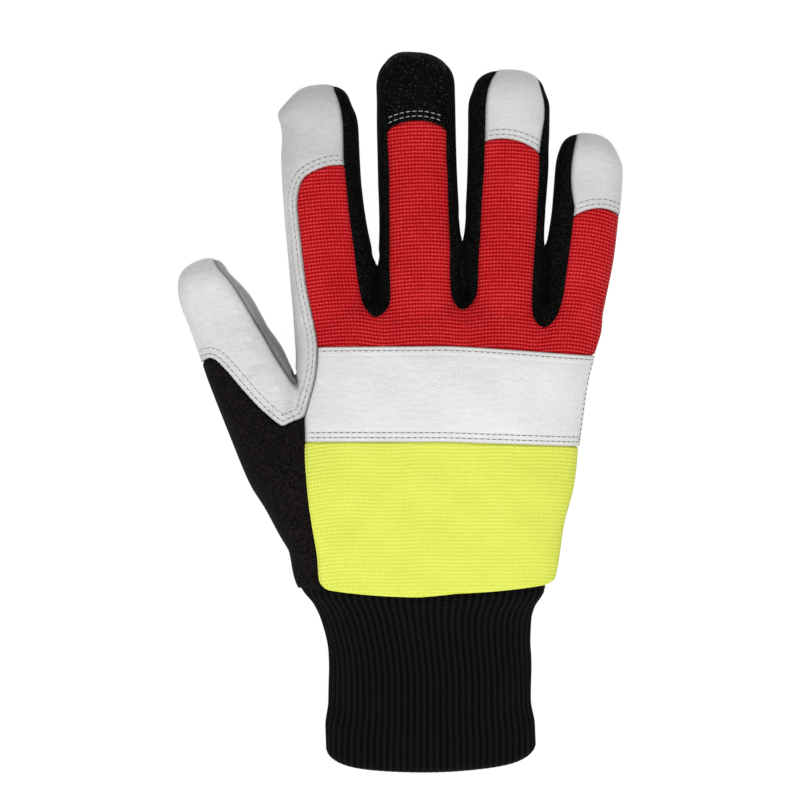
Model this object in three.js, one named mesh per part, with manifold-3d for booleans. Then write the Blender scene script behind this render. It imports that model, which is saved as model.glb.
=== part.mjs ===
// A chainsaw work glove for the right hand, lying palm down.
// Millimetres. +Z is up, the fingers point to +Y and the thumb to -X.
// The origin is on the surface that it lies on, under the middle of the palm.
//
// One hollow skin is made first: a hand, four fingers and a thumb are lofted, joined and hollowed.
// The skin is then cut along its seams, as a pattern is, so that neighbouring pieces share each seam.
// The knitted cuff is a ribbed tube of its own.

import * as THREE from "three";
import { mergeVertices } from "three/addons/utils/BufferGeometryUtils.js";
import Module from "manifold-3d";

const wasm = await Module();
wasm.setup();

// Walls and seams
const BODY_WALL = 2;
const CUFF_WALL = 3;
const SEAM_GAP = 0.3;
const SIDE_SEAM_HEIGHT = 9; // where the palm leather ends on the sides of the hand and fingers

// Hand
const HAND_LENGTH = 109.4; // wrist seam to the lowest ends of the strips between the fingers
const HAND_WIDTH = 119.6; // across the knuckles
const HAND_HEIGHT = 35;
const PALM_REACH = 65.2; // origin to the wrist seam
const KNUCKLE_SHIFT = 6.4; // the knuckles lie this far towards the little finger
const KNUCKLE_LENGTH = 12; // strips between the fingers to the leather band
const BAND_LENGTH = 37.4; // leather band, along the hand

// Thumb
const THUMB_LENGTH = 123.3; // tip to the root inside the hand
const THUMB_WIDTH = 27.2;
const THUMB_HEIGHT = 25;
const THUMB_LEAN = 23.5; // degrees away from the fingers
const THUMB_ROOT_OUT = 40.6; // root to the middle of the cuff
const THUMB_ROOT_UP = 18.4; // root to the wrist seam

// Cuff
const CUFF_LENGTH = 67.3;
const CUFF_WIDTH = 78.4;
const CUFF_HEIGHT = 25;
const CUFF_RIBS = 72;
const RIB_DEPTH = 0.6;
const WRIST_SAG = 5.7; // the wrist seam dips this much in the middle, over the width of the hand
const HEM_SAG = 11; // and the hem this much

// Fingers
const MIDDLE_LENGTH = 103.2; // from the knuckle line, as all the fingers
const FINGER_WIDTH = 30.5;
const FINGER_HEIGHT = 25;

// length, capLength and web are shares of the middle finger's length: web is how far the gap after the
// finger starts above the knuckles, and strip where the black strip in that gap ends. width, bow and
// height are shares of the finger sizes above, and bow bends the finger sideways at half its length.
// rootFrom and rootTo are shares of the hand's width. left and right place the seams of the back, in
// half widths of the finger: at its root, at the edge of its cap and at its tip, and how much they
// bulge beside the cap.
const FINGER_SHARES = [
  {
    name: "index", length: 0.878, width: 0.984, height: 0.96, lean: -4.1, bow: -0.056,
    rootFrom: 0, rootTo: 0.274, web: 0.188, strip: 0, capLength: 0.308, capPeak: 0.4,
    left: { root: -0.68, cap: -0.66, tip: -0.6, bulge: 0 },
    right: { root: 0.68, cap: 0.66, tip: 0.35, bulge: 0.02 },
  },
  {
    name: "middle", length: 1, width: 1, height: 1, lean: -1.6, bow: 0.003,
    rootFrom: 0.274, rootTo: 0.557, web: 0.247, strip: 0.031, capLength: 0.263, capPeak: 0,
    left: { root: -0.78, cap: -0.75, tip: -0.67, bulge: 0 },
    right: { root: 0.79, cap: 0.8, tip: 0.86, bulge: 0 },
  },
  {
    name: "ring", length: 0.934, width: 1.016, height: 0.96, lean: 1.2, bow: 0.01,
    rootFrom: 0.557, rootTo: 0.812, web: 0.237, strip: -0.039, capLength: 0.265, capPeak: -0.15,
    left: { root: -0.7, cap: -0.61, tip: -0.15, bulge: 0 },
    right: { root: 0.66, cap: 0.83, tip: 0.6, bulge: 0.1 },
  },
  {
    name: "little", length: 0.697, width: 0.852, height: 0.88, lean: 6.1, bow: 0.043,
    rootFrom: 0.812, rootTo: 1, web: 0, strip: 0, capLength: 0.279, capPeak: 0.5,
    left: { root: -0.28, cap: -0.28, tip: -0.1, bulge: -0.2 },
    right: { root: 2, cap: 2, tip: 2, bulge: 0 },
  },
];
const FINGERS = FINGER_SHARES.map((row) => ({
  ...row,
  length: row.length * MIDDLE_LENGTH,
  width: row.width * FINGER_WIDTH,
  height: row.height * FINGER_HEIGHT,
  bow: row.bow * FINGER_WIDTH,
  web: row.web * MIDDLE_LENGTH,
  strip: row.strip * MIDDLE_LENGTH,
  capLength: row.capLength * MIDDLE_LENGTH,
}));

// Sections of the hand, from inside the cuff to just past the knuckles. along is a share of the hand
// length, left and right are shares of half the hand width from the middle of the cuff, and base and
// top are shares of the hand height.
const HAND_SECTIONS = [
  { along: -0.1, left: -0.84, right: 0.775, base: 0, top: 0.84 },
  { along: 0.02, left: -0.848, right: 0.782, base: 0, top: 0.86 },
  { along: 0.133, left: -0.905, right: 0.84, base: 0, top: 0.9 },
  { along: 0.275, left: -0.965, right: 0.892, base: 0, top: 0.95 },
  { along: 0.418, left: -1.04, right: 0.944, base: 0, top: 1 },
  { along: 0.56, left: -1, right: 0.967, base: 0, top: 1.02 },
  { along: 0.703, left: -0.91, right: 1.005, base: 0, top: 1 },
  { along: 0.846, left: -0.87, right: 1.065, base: 0, top: 0.95 },
  { along: 0.953, left: -0.885, right: 1.11, base: 0, top: 0.87 },
  { along: 1, left: -0.893, right: 1.115, base: 0.02, top: 0.82 },
  { along: 1.04, left: -0.87, right: 1.07, base: 0.08, top: 0.74 },
  { along: 1.065, left: -0.84, right: 1.02, base: 0.25, top: 0.5 },
];

// Sections of the thumb, as shares of its length from the tip, half width and height. shift moves a
// section sideways, in half widths.
const THUMB_SECTIONS = [
  { along: 0, half: 0.9, shift: -0.13, top: 1 },
  { along: 0.1, half: 0.92, shift: -0.1, top: 1 },
  { along: 0.17, half: 1, shift: -0.02, top: 1 },
  { along: 0.27, half: 1.08, shift: 0, top: 1.03 },
  { along: 0.34, half: 1.15, shift: 0, top: 1.06 },
  { along: 0.52, half: 1.21, shift: 0, top: 1.14 },
  { along: 0.71, half: 1.25, shift: 0, top: 1.22 },
  { along: 0.81, half: 1.15, shift: 0, top: 1.22 },
  { along: 0.9, half: 1.05, shift: 0, top: 1.18 },
  { along: 1, half: 0.9, shift: 0, top: 1.1 },
];

// Sections of the cuff from its seam to the hem, as shares of its length, half width and height.
const CUFF_SECTIONS = [
  { along: -0.1, half: 1.3, top: 1.2 },
  { along: 0.04, half: 1.17, top: 1.13 },
  { along: 0.1, half: 1.09, top: 1.06 },
  { along: 0.18, half: 1.04, top: 1.02 },
  { along: 0.36, half: 1, top: 1 },
  { along: 0.66, half: 1, top: 1 },
  { along: 0.84, half: 1.035, top: 1.04 },
  { along: 0.97, half: 1.035, top: 1.04 },
  { along: 1, half: 1, top: 0.97 },
];

// The seam along the thumb side of the back, from the wrist to the index finger.
// along is a share of the hand length and across a share of half the hand width.
const LEFT_SEAM = [
  { along: -0.2, across: -0.66 },
  { along: -0.01, across: -0.704 },
  { along: 0.068, across: -0.73 },
  { along: 0.168, across: -0.743 },
  { along: 0.268, across: -0.77 },
  { along: 0.368, across: -0.796 },
  { along: 0.489, across: -0.815 },
  { along: 0.57, across: -0.818 },
  { along: 0.65, across: -0.82 },
  { along: 0.696, across: -0.796 },
  { along: 0.796, across: -0.75 },
  { along: 0.888, across: -0.737 },
  { along: 0.93, across: -0.745 },
];
const LEFT_SEAM_FORK = 8; // the row of the seam where the suede begins

// The leather band's edges, as shares of its own length. across is a share of half the hand width.
const BAND_EDGES = [
  { across: -3, top: 0, bottom: 0 },
  { across: -0.8, top: 0, bottom: 0 },
  { across: 0.1, top: 0.015, bottom: 0 },
  { across: 1.1, top: -0.09, bottom: -0.035 },
  { across: 3, top: -0.09, bottom: -0.035 },
];

// The edge of the thumb leather over the suede, from the point below the crotch to the outside.
// along is a share of the thumb length from its tip and across a share of its half width.
const GUSSET_SEAM = [
  { along: 0.584, across: 0.29 },
  { along: 0.556, across: 0.14 },
  { along: 0.5, across: -0.1 },
  { along: 0.426, across: -0.33 },
  { along: 0.35, across: -0.54 },
  { along: 0.303, across: -0.74 },
  { along: 0.293, across: -1.01 },
  { along: 0.305, across: -1.3 },
  { along: 0.35, across: -3 },
];

// The seam on the inner side of the thumb, from its tip to its crotch beside the index finger.
const THUMB_SEAM = [
  { along: -0.1, across: 0.1 },
  { along: 0, across: 0.35 },
  { along: 0.05, across: 0.47 },
  { along: 0.1, across: 0.6 },
  { along: 0.233, across: 0.62 },
  { along: 0.34, across: 0.7 },
  { along: 0.396, across: 0.78 },
  { along: 0.434, across: 0.86 },
  { along: 0.456, across: 1.02 },
];
// The open gap between the thumb and the index finger, from the crotch outwards.
const THUMB_GAP = [
  { along: 0.44, across: 1.24 },
  { along: 0.3, across: 1.37 },
  { along: 0.1, across: 1.6 },
  { along: -0.1, across: 1.6 },
];
const THUMB_FOOT = 0.52; // the thumb's palm leather ends at this share of its length

// Finish of the mesh
const BODY_SIDES = 32;
const FINGER_SIDES = 16;
const CUFF_LINING_SIDES = 24;
const SQUARENESS = 2.5; // 2 makes the sections ellipses, and more makes them boxier
const TIP_SQUARENESS = 2.4;
const TIP_SHARE = 0.45; // the rounded tip is this share of the width long
const FLOOR_SINK = 1.2; // sections dip this far below the floor, so that the glove lies flat
const ROOT_DEPTH = 20; // fingers start this deep inside the hand, at a smaller size
const ROOT_SIZE = 0.7;
const WEB_OVERLAP = 1; // neighbouring fingers run into each other this far up to their gap
const WEB_EASE = 26; // above its gap a finger narrows to its own width over this length
const CAP_SAG = 5.4; // the cap edges are arched by this much at a whole half width
const STRIP_ROUND = 5; // the black strips end in a U of about this radius
const FAR = 400;

const COLOURS = {
  leather: { color: 0xe4e4e3, roughness: 0.55 },
  palmLeather: { color: 0xcfceca, roughness: 0.55 },
  red: { color: 0xc0242a, roughness: 0.9 },
  yellow: { color: 0xe6f05a, roughness: 0.9 },
  black: { color: 0x1a1a1b, roughness: 0.95 },
  suede: { color: 0x1d1a1a, roughness: 1 },
  grip: { color: 0x151515, roughness: 0.6 },
};

const { lerp, degToRad } = THREE.MathUtils;
const plan = (x, y) => new THREE.Vector2(x, y);
const halfHand = HAND_WIDTH / 2;
const wristY = -PALM_REACH;
const knuckleY = wristY + HAND_LENGTH;

// Reads a column of a table of sections at a place between its rows.
function between(rows, along, column) {
  const next = rows.findIndex((row) => row.along > along);
  if (next === 0) return rows[0][column];
  if (next < 0) return rows[rows.length - 1][column];
  const [a, b] = [rows[next - 1], rows[next]];
  return lerp(a[column], b[column], (along - a.along) / (b.along - a.along));
}

// How wide a rounded tip is, a share of the way from its end to where the rounding starts.
function tipRound(share) {
  const past = Math.min(1, share);
  return (1 - (1 - past) ** TIP_SQUARENESS) ** (1 / TIP_SQUARENESS);
}

// Solids

// A closed three.js geometry as a solid, turned right side out.
function solidFrom(geometry) {
  geometry.deleteAttribute("normal");
  geometry.deleteAttribute("uv");
  const merged = mergeVertices(geometry, 1e-4);
  const vertProperties = new Float32Array(merged.attributes.position.array);
  const triVerts = new Uint32Array(merged.index.array);
  const made = new wasm.Manifold(new wasm.Mesh({ numProp: 3, vertProperties, triVerts }));
  if (made.volume() > 0) return made;
  triVerts.reverse();
  return new wasm.Manifold(new wasm.Mesh({ numProp: 3, vertProperties, triVerts }));
}

// A squarish oval section, standing upright across a plan direction.
function ovalRing({ centre, across, half, bottom, top }, sides) {
  const ring = [];
  for (let i = 0; i < sides; i++) {
    const turn = (2 * Math.PI * i) / sides;
    const bend = (v) => Math.sign(v) * Math.abs(v) ** (2 / SQUARENESS);
    const side = bend(Math.cos(turn)) * half;
    const z = (top + bottom) / 2 + (bend(Math.sin(turn)) * (top - bottom)) / 2;
    ring.push(new THREE.Vector3(centre.x + across.x * side, centre.y + across.y * side, z));
  }
  return ring;
}

// Skins a row of rings with quads and closes both ends with a fan.
function loft(rings) {
  const sides = rings[0].length;
  const points = rings.flat();
  const faces = [];
  for (let r = 0; r + 1 < rings.length; r++) {
    for (let i = 0; i < sides; i++) {
      const a = r * sides + i;
      const b = r * sides + ((i + 1) % sides);
      faces.push(a, b, b + sides, a, b + sides, a + sides);
    }
  }
  const closeEnd = (ring, start, flip) => {
    points.push(ring.reduce((sum, p) => sum.add(p), new THREE.Vector3()).divideScalar(sides));
    for (let i = 0; i < sides; i++) {
      const edge = [start + i, start + ((i + 1) % sides)];
      faces.push(...(flip ? edge.reverse() : edge), points.length - 1);
    }
  };
  closeEnd(rings[0], 0, true);
  closeEnd(rings[rings.length - 1], (rings.length - 1) * sides, false);
  const geometry = new THREE.BufferGeometry().setFromPoints(points);
  geometry.setIndex(faces);
  return solidFrom(geometry);
}

// Moves each point of a closed plan outline outwards by a distance.
function grown(outline, distance) {
  const turn = Math.sign(THREE.ShapeUtils.area(outline));
  return outline.map((p, i) => {
    const before = outline[(i + outline.length - 1) % outline.length];
    const after = outline[(i + 1) % outline.length];
    const a = p.clone().sub(before).normalize();
    const b = after.clone().sub(p).normalize();
    const out = plan(a.y + b.y, -a.x - b.x).normalize();
    const stretch = Math.max(0.5, out.dot(plan(a.y, -a.x)));
    return p.clone().addScaledVector(out, (turn * distance) / stretch);
  });
}

// A cutter standing on a plan outline. Asked for a clearance, it grows by it on every side.
function standing(outline, low = -FAR, high = FAR) {
  return (clearance) => {
    const shape = new THREE.Shape(grown(outline, clearance));
    const depth = high - low + 2 * clearance;
    const prism = new THREE.ExtrudeGeometry(shape, { depth, bevelEnabled: false });
    return solidFrom(prism.translate(0, 0, low - clearance));
  };
}

// The largest body of a cut, without the slivers that a cut can leave.
function mainBody(solid) {
  return solid.decompose().sort((a, b) => b.volume() - a.volume())[0];
}

const corners = (left, low, right, high) => [
  plan(left, low),
  plan(right, low),
  plan(right, high),
  plan(left, high),
];
const everywhere = corners(-FAR, -FAR, FAR, FAR);

// Hand
function handRings(inset) {
  return HAND_SECTIONS.map((row) => {
    const left = row.left * halfHand + inset;
    const right = row.right * halfHand - inset;
    const pullIn = row.along > 1 ? inset : 0;
    return ovalRing(
      {
        centre: plan((left + right) / 2, wristY + row.along * HAND_LENGTH - pullIn),
        across: plan(1, 0),
        half: (right - left) / 2,
        bottom: row.base * HAND_HEIGHT + inset - FLOOR_SINK,
        top: row.top * HAND_HEIGHT - inset,
      },
      BODY_SIDES,
    );
  });
}

// Height of the back of the hand at the knuckles, so that each finger starts level with it.
function knuckleTop(x) {
  const left = between(HAND_SECTIONS, 1, "left") * halfHand;
  const right = between(HAND_SECTIONS, 1, "right") * halfHand;
  const share = Math.min(0.95, Math.abs(x - (left + right) / 2) / ((right - left) / 2));
  const top = between(HAND_SECTIONS, 1, "top") * HAND_HEIGHT;
  const rise = (1 - share ** SQUARENESS) ** (1 / SQUARENESS);
  return (top - FLOOR_SINK) / 2 + (rise * (top + FLOOR_SINK)) / 2;
}

// Fingers
const rootX = (share) => KNUCKLE_SHIFT - halfHand + share * HAND_WIDTH;

// A plan point of a finger: along it from the knuckles, and across it in millimetres.
function fingerPoint(finger, along, side) {
  const lean = degToRad(finger.lean);
  const share = Math.max(0, along / finger.length);
  const across = side + finger.bow * 4 * share * (1 - share);
  const root = plan(rootX((finger.rootFrom + finger.rootTo) / 2), knuckleY);
  return plan(
    root.x + Math.sin(lean) * along + Math.cos(lean) * across,
    root.y + Math.cos(lean) * along - Math.sin(lean) * across,
  );
}

// How far a finger reaches to one side. Up to the gap it meets its neighbour half way.
function fingerReach(index, direction, along) {
  const finger = FINGERS[index];
  const other = FINGERS[index + direction];
  const gap = other ? (direction > 0 ? finger.web : other.web) : 0;
  const at = Math.max(0, Math.min(along, gap));
  const apart = other ? fingerPoint(finger, at, 0).distanceTo(fingerPoint(other, at, 0)) : 0;
  const rootHalf = ((finger.rootTo - finger.rootFrom) * HAND_WIDTH) / 2;
  const joined = other ? apart / 2 + WEB_OVERLAP : rootHalf;
  const eased = Math.max(0, 1 - Math.max(0, along - gap) / WEB_EASE);
  return lerp(finger.width / 2, joined, eased ** 1.5);
}

function fingerRings(index, inset) {
  const finger = FINGERS[index];
  const lean = degToRad(finger.lean);
  const tipLength = TIP_SHARE * finger.width;
  const length = finger.length - inset;
  const body = finger.length - tipLength;
  const straight = [0, 0.15, 0.3, 0.43, 0.7].map((share) => share * body);
  const rounded = [1, 0.7, 0.42, 0.2, 0.04].map((share) => length - share * tipLength);
  return [-ROOT_DEPTH, ...straight, ...rounded].map((along) => {
    const round = along < 0 ? ROOT_SIZE : tipRound((length - along) / tipLength);
    const left = (fingerReach(index, -1, along) - inset) * round;
    const right = (fingerReach(index, 1, along) - inset) * round;
    const nearRoot = Math.max(0, 1 - Math.max(0, along) / (0.4 * finger.length));
    const rootTop = knuckleTop(fingerPoint(finger, 0, 0).x);
    const height = lerp(finger.height, rootTop, nearRoot) - 2 * inset + FLOOR_SINK;
    const middle = inset - FLOOR_SINK + height / 2;
    return ovalRing(
      {
        centre: fingerPoint(finger, along, (right - left) / 2),
        across: plan(Math.cos(lean), -Math.sin(lean)),
        half: (left + right) / 2,
        bottom: middle - (height / 2) * round,
        top: middle + (height / 2) * round,
      },
      FINGER_SIDES,
    );
  });
}

// Thumb
// A plan point of the thumb: a share of its length from the tip, and across it in half widths.
function thumbPoint({ along, across }) {
  const lean = degToRad(THUMB_LEAN);
  const up = (1 - along) * THUMB_LENGTH;
  const side = (across * THUMB_WIDTH) / 2;
  return plan(
    -THUMB_ROOT_OUT - Math.sin(lean) * up + Math.cos(lean) * side,
    wristY + THUMB_ROOT_UP + Math.cos(lean) * up + Math.sin(lean) * side,
  );
}

function thumbRings(inset) {
  const lean = degToRad(THUMB_LEAN);
  const tipLength = TIP_SHARE * THUMB_WIDTH;
  const tipRows = [0.04, 0.2, 0.42, 0.7, 1].map((share) => {
    return { along: (inset + share * tipLength) / THUMB_LENGTH, round: tipRound(share) };
  });
  const rest = THUMB_SECTIONS.filter((row) => row.along * THUMB_LENGTH > 1.2 * tipLength);
  return [...tipRows, ...rest].map(({ along, round = 1 }) => {
    const wide = between(THUMB_SECTIONS, along, "half");
    const shift = between(THUMB_SECTIONS, along, "shift");
    const height = between(THUMB_SECTIONS, along, "top") * THUMB_HEIGHT - 2 * inset + FLOOR_SINK;
    const middle = inset - FLOOR_SINK + height / 2;
    return ovalRing(
      {
        centre: thumbPoint({ along, across: shift }),
        across: plan(Math.cos(lean), Math.sin(lean)),
        half: ((wide * THUMB_WIDTH) / 2 - inset) * round,
        bottom: middle - (height / 2) * round,
        top: middle + (height / 2) * round,
      },
      FINGER_SIDES,
    );
  });
}

// Everything on the wrist's side of the wrist seam, which dips in the middle.
function beyondWrist() {
  const line = [];
  for (let i = -6; i <= 6; i++) {
    line.push(plan((i / 6) * halfHand, wristY + WRIST_SAG * (i / 6) ** 2));
  }
  return standing([plan(-FAR, -FAR), plan(FAR, -FAR), plan(FAR, wristY + WRIST_SAG)].concat(
    line.reverse(),
    plan(-FAR, wristY + WRIST_SAG),
  ));
}

// The hollow skin of the hand, fingers and thumb, open at the wrist.
function bodySkin() {
  const filled = (inset) =>
    [handRings(inset), thumbRings(inset), ...FINGERS.map((_, i) => fingerRings(i, inset))]
      .map(loft)
      .reduce((sum, solid) => sum.add(solid))
      .intersect(standing(everywhere, inset, FAR)(0));
  return filled(0).subtract(filled(BODY_WALL)).subtract(beyondWrist()(SEAM_GAP / 2));
}

// Cuff
// Points at equal steps along a ring, pushed in and out by turns to make the ribs of the knitting.
function ribbedRing(ring, count, depth) {
  const curve = new THREE.CatmullRomCurve3(ring, true);
  curve.arcLengthDivisions = 8 * count;
  const even = curve.getSpacedPoints(count).slice(0, count);
  return even.map((p, i) => {
    const ahead = even[(i + 1) % count];
    const behind = even[(i + count - 1) % count];
    const out = new THREE.Vector3(ahead.z - behind.z, 0, behind.x - ahead.x).normalize();
    return p.clone().addScaledVector(out, i % 2 === 0 ? 0 : -depth);
  });
}

function cuffRings(inset, count, ribDepth) {
  const wristMiddle = ((HAND_SECTIONS[1].left + HAND_SECTIONS[1].right) / 2) * halfHand;
  return CUFF_SECTIONS.map((row) => {
    const centre = plan(wristMiddle * Math.max(0, 1 - row.along / 0.2), 0);
    const half = (row.half * CUFF_WIDTH) / 2 - inset;
    const top = row.top * CUFF_HEIGHT - inset;
    const oval = { centre, across: plan(1, 0), half, bottom: inset - FLOOR_SINK, top };
    const ring = ribbedRing(ovalRing(oval, BODY_SIDES), count, ribDepth);
    const end = row.along === 1 ? inset : 0;
    const sag = lerp(WRIST_SAG, HEM_SAG, Math.max(0, row.along));
    for (const p of ring) {
      p.y = wristY - row.along * CUFF_LENGTH + sag * (p.x / halfHand) ** 2 - end;
    }
    return ring;
  });
}

function knitCuff() {
  const filled = (inset, count, ribDepth) =>
    loft(cuffRings(inset, count, ribDepth)).intersect(standing(everywhere, inset, FAR)(0));
  const tube = filled(0, 2 * CUFF_RIBS, RIB_DEPTH).subtract(filled(CUFF_WALL, CUFF_LINING_SIDES, 0));
  return tube.intersect(beyondWrist()(-SEAM_GAP / 2));
}

// Seams
// A plan point of one of the seams beside the back of a finger.
function fingerSeam(finger, side, along) {
  const { root, cap, tip, bulge } = finger[side];
  const capEdge = finger.length - finger.capLength;
  const t = (along - capEdge) / finger.capLength;
  const past = Math.min(1, Math.max(0, t));
  const below = Math.min(1, Math.max(0, along / capEdge));
  const share = lerp(lerp(root, cap, below), tip, past ** 4) + bulge * 4 * past * (1 - past);
  return fingerPoint(finger, along, (share * finger.width) / 2);
}

// The strip between two fingers, from beyond the tips down to its rounded end at the knuckles.
function stripOutline(finger, next) {
  const steps = [1.15, 1, 0.95, 0.88, 0.8, 0.68, 0.5, 0.32];
  const down = steps.map((share) => fingerSeam(finger, "right", share * finger.length));
  const up = steps.map((share) => fingerSeam(next, "left", share * next.length)).reverse();
  const foot = plan(rootX(finger.rootTo), knuckleY + finger.strip);
  const shoulder = (f, side, rise) => fingerSeam(f, side, finger.strip + rise);
  const bend = new THREE.SplineCurve([
    shoulder(finger, "right", 2.6 * STRIP_ROUND),
    shoulder(finger, "right", STRIP_ROUND).lerp(foot, 0.15),
    foot,
    shoulder(next, "left", STRIP_ROUND).lerp(foot, 0.15),
    shoulder(next, "left", 2.6 * STRIP_ROUND),
  ]).getPoints(12);
  return [...down, ...bend, ...up];
}

// The edge of a fingertip cap, arched across the finger from one share of its half width to another.
function capEdge(finger, from, to) {
  const line = [];
  for (let i = 0; i <= 8; i++) {
    const share = lerp(from, to, i / 8);
    const sag = CAP_SAG * Math.min(1.2, Math.abs(share - finger.capPeak)) ** 2;
    const along = finger.length - finger.capLength - sag;
    line.push(fingerPoint(finger, along, (share * finger.width) / 2));
  }
  return line;
}

function capOutline(finger) {
  const beyond = 1.2 * finger.length;
  const side = 0.62 * finger.width;
  const end = [fingerPoint(finger, beyond, side), fingerPoint(finger, beyond, -side)];
  return [...capEdge(finger, -1.24, 1.24), ...end];
}

const seamPoint = (row) => plan(row.across * halfHand, wristY + row.along * HAND_LENGTH);

// The leather of the thumb's back, its crotch, the side of the index finger and its fingertip.
function saddleOutline() {
  const index = FINGERS[0];
  const handPart = LEFT_SEAM.slice(LEFT_SEAM_FORK).map(seamPoint);
  const fingerPart = [0.1, 0.25, 0.4, 0.52].map((share) =>
    fingerSeam(index, "left", share * index.length),
  );
  const cap = capEdge(index, index.left.cap + 0.08, 1.24);
  const beyond = fingerPoint(index, 1.2 * index.length, 0.62 * index.width);
  const outside = [plan(beyond.x, FAR), plan(-FAR, FAR)];
  const thumbPart = GUSSET_SEAM.map(thumbPoint).reverse();
  return [...handPart, ...fingerPart, ...cap, beyond, ...outside, ...thumbPart];
}

function bandEdge(column) {
  const top = knuckleY - KNUCKLE_LENGTH;
  const start = column === "top" ? top : top - BAND_LENGTH;
  return BAND_EDGES.map((row) => plan(row.across * halfHand, start + row[column] * BAND_LENGTH));
}

const below = (line) => [plan(-FAR, -FAR), plan(FAR, -FAR)].concat(
  plan(FAR, line[line.length - 1].y),
  [...line].reverse(),
  plan(-FAR, line[0].y),
);

const thumbFoot = [
  { along: THUMB_FOOT, across: -3 },
  { along: -0.2, across: -3 },
  { along: -0.2, across: 1.6 },
].map(thumbPoint);
const thumbGap = THUMB_GAP.map(thumbPoint);
const innerThumb = standing([...THUMB_SEAM.map(thumbPoint), ...thumbGap]);
const underThumb = standing([...thumbFoot, ...[...thumbGap].reverse()], -FAR, SIDE_SEAM_HEIGHT);
const gussetSide = [plan(-FAR, -FAR), ...LEFT_SEAM.map(seamPoint), plan(-FAR, FAR)];
const [index, middle, ring, little] = FINGERS;

// The pieces in the order in which they are cut. What is left at the end is the red back.
const CUTS = [
  { name: "thumb_palm_leather", look: "palmLeather", cutter: (c) => innerThumb(c).add(underThumb(c)) },
  { name: "palm_leather", look: "palmLeather", cutter: standing(everywhere, -FAR, SIDE_SEAM_HEIGHT) },
  { name: "index_middle_fourchette", look: "black", cutter: standing(stripOutline(index, middle)) },
  { name: "middle_ring_fourchette", look: "black", cutter: standing(stripOutline(middle, ring)) },
  { name: "ring_little_fourchette", look: "black", cutter: standing(stripOutline(ring, little)) },
  { name: "index_thumb_leather", look: "leather", cutter: standing(saddleOutline()) },
  { name: "thumb_gusset", look: "suede", cutter: standing(gussetSide) },
  { name: "yellow_back", look: "yellow", cutter: standing(below(bandEdge("bottom"))) },
  { name: "knuckle_band", look: "leather", cutter: standing(below(bandEdge("top"))) },
  { name: "middle_tip", look: "grip", cutter: standing(capOutline(middle)) },
  { name: "ring_tip", look: "leather", cutter: standing(capOutline(ring)) },
  { name: "little_tip", look: "leather", cutter: standing(capOutline(little)) },
];

function meshOf(name, solid, look) {
  const { vertProperties, triVerts } = mainBody(solid).getMesh();
  const geometry = new THREE.BufferGeometry();
  geometry.setAttribute("position", new THREE.BufferAttribute(vertProperties, 3));
  geometry.setIndex(new THREE.BufferAttribute(triVerts, 1));
  const flat = geometry.toNonIndexed();
  flat.computeVertexNormals();
  const mesh = new THREE.Mesh(flat, new THREE.MeshStandardMaterial({ ...COLOURS[look], metalness: 0 }));
  mesh.name = name;
  return mesh;
}

const glove = new THREE.Group();
glove.name = "chainsaw_glove";
let skin = bodySkin();
for (const { name, look, cutter } of CUTS) {
  // Half the seam's gap comes off the piece, and half off what is left.
  glove.add(meshOf(name, skin.intersect(cutter(-SEAM_GAP / 2)), look));
  skin = skin.subtract(cutter(SEAM_GAP / 2));
}
glove.add(meshOf("red_back", skin, "red"));
glove.add(meshOf("knit_cuff", knitCuff(), "black"));

export default glove;
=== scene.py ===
# %% [markdown]
# # A chainsaw glove, dressed piece by piece
# The glove is a right-hand work glove, lying palm down. It is sewn from pale leather, ribbed red and
# yellow stretch fabric, black fleece strips between the fingers, black suede and a knitted cuff.
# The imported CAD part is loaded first. It fixes the frame: metres, fingers to +Y, thumb to -X, and
# the floor at Z = 0. Every piece below stands for one CAD node and stays in that node's place.

import math

import bpy
import numpy as np
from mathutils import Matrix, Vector
from mathutils.bvhtree import BVHTree


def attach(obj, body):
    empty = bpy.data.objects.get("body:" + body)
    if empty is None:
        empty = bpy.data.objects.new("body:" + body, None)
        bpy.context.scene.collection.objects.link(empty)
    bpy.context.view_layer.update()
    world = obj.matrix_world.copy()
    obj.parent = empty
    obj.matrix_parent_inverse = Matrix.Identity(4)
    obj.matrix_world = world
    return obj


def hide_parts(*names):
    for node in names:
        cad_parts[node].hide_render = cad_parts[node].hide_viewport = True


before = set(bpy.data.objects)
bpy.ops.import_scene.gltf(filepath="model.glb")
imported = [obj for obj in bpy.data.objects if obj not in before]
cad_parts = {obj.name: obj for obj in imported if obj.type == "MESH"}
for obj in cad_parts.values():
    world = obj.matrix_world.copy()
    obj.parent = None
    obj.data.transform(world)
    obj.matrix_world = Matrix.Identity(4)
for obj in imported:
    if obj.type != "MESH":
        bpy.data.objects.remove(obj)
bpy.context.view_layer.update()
MM = 0.001  # the shapes below are worked out in millimetres, as a pattern cutter would
print("CAD nodes:", sorted(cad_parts))

# %% [markdown]
# ## Camera, floor and light
# The glove was photographed from straight above, from far enough away that its fingers don't flare.
# A long lens 1.5 m up does the same. The light is a wide softbox above the glove, a low one from
# beyond its cuff, and a white room. The floor is a light table, as in catalogue photographs: it
# glows a little itself, so that only a faint shadow is left on it.

# %% Camera
FRAME_WIDTH = 312.0  # what the picture's width covers at the height of the glove's sides, in mm
CAMERA_HEIGHT = 1500.0
SIDE_HEIGHT = 14.0
FRAME_MIDDLE = (-11.9, 11.9)
SENSOR = 36.0


def added(name, data):
    """A new object in the scene."""
    made = bpy.data.objects.new(name, data)
    bpy.context.scene.collection.objects.link(made)
    return made


camera = added("camera", bpy.data.cameras.new("camera"))
camera.location = Vector((*FRAME_MIDDLE, CAMERA_HEIGHT)) * MM
camera.data.sensor_width = SENSOR
camera.data.lens = SENSOR * (CAMERA_HEIGHT - SIDE_HEIGHT) / FRAME_WIDTH
camera.data.clip_end = 20.0
bpy.context.scene.camera = camera
print("lens", round(camera.data.lens, 1), "mm")

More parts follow.
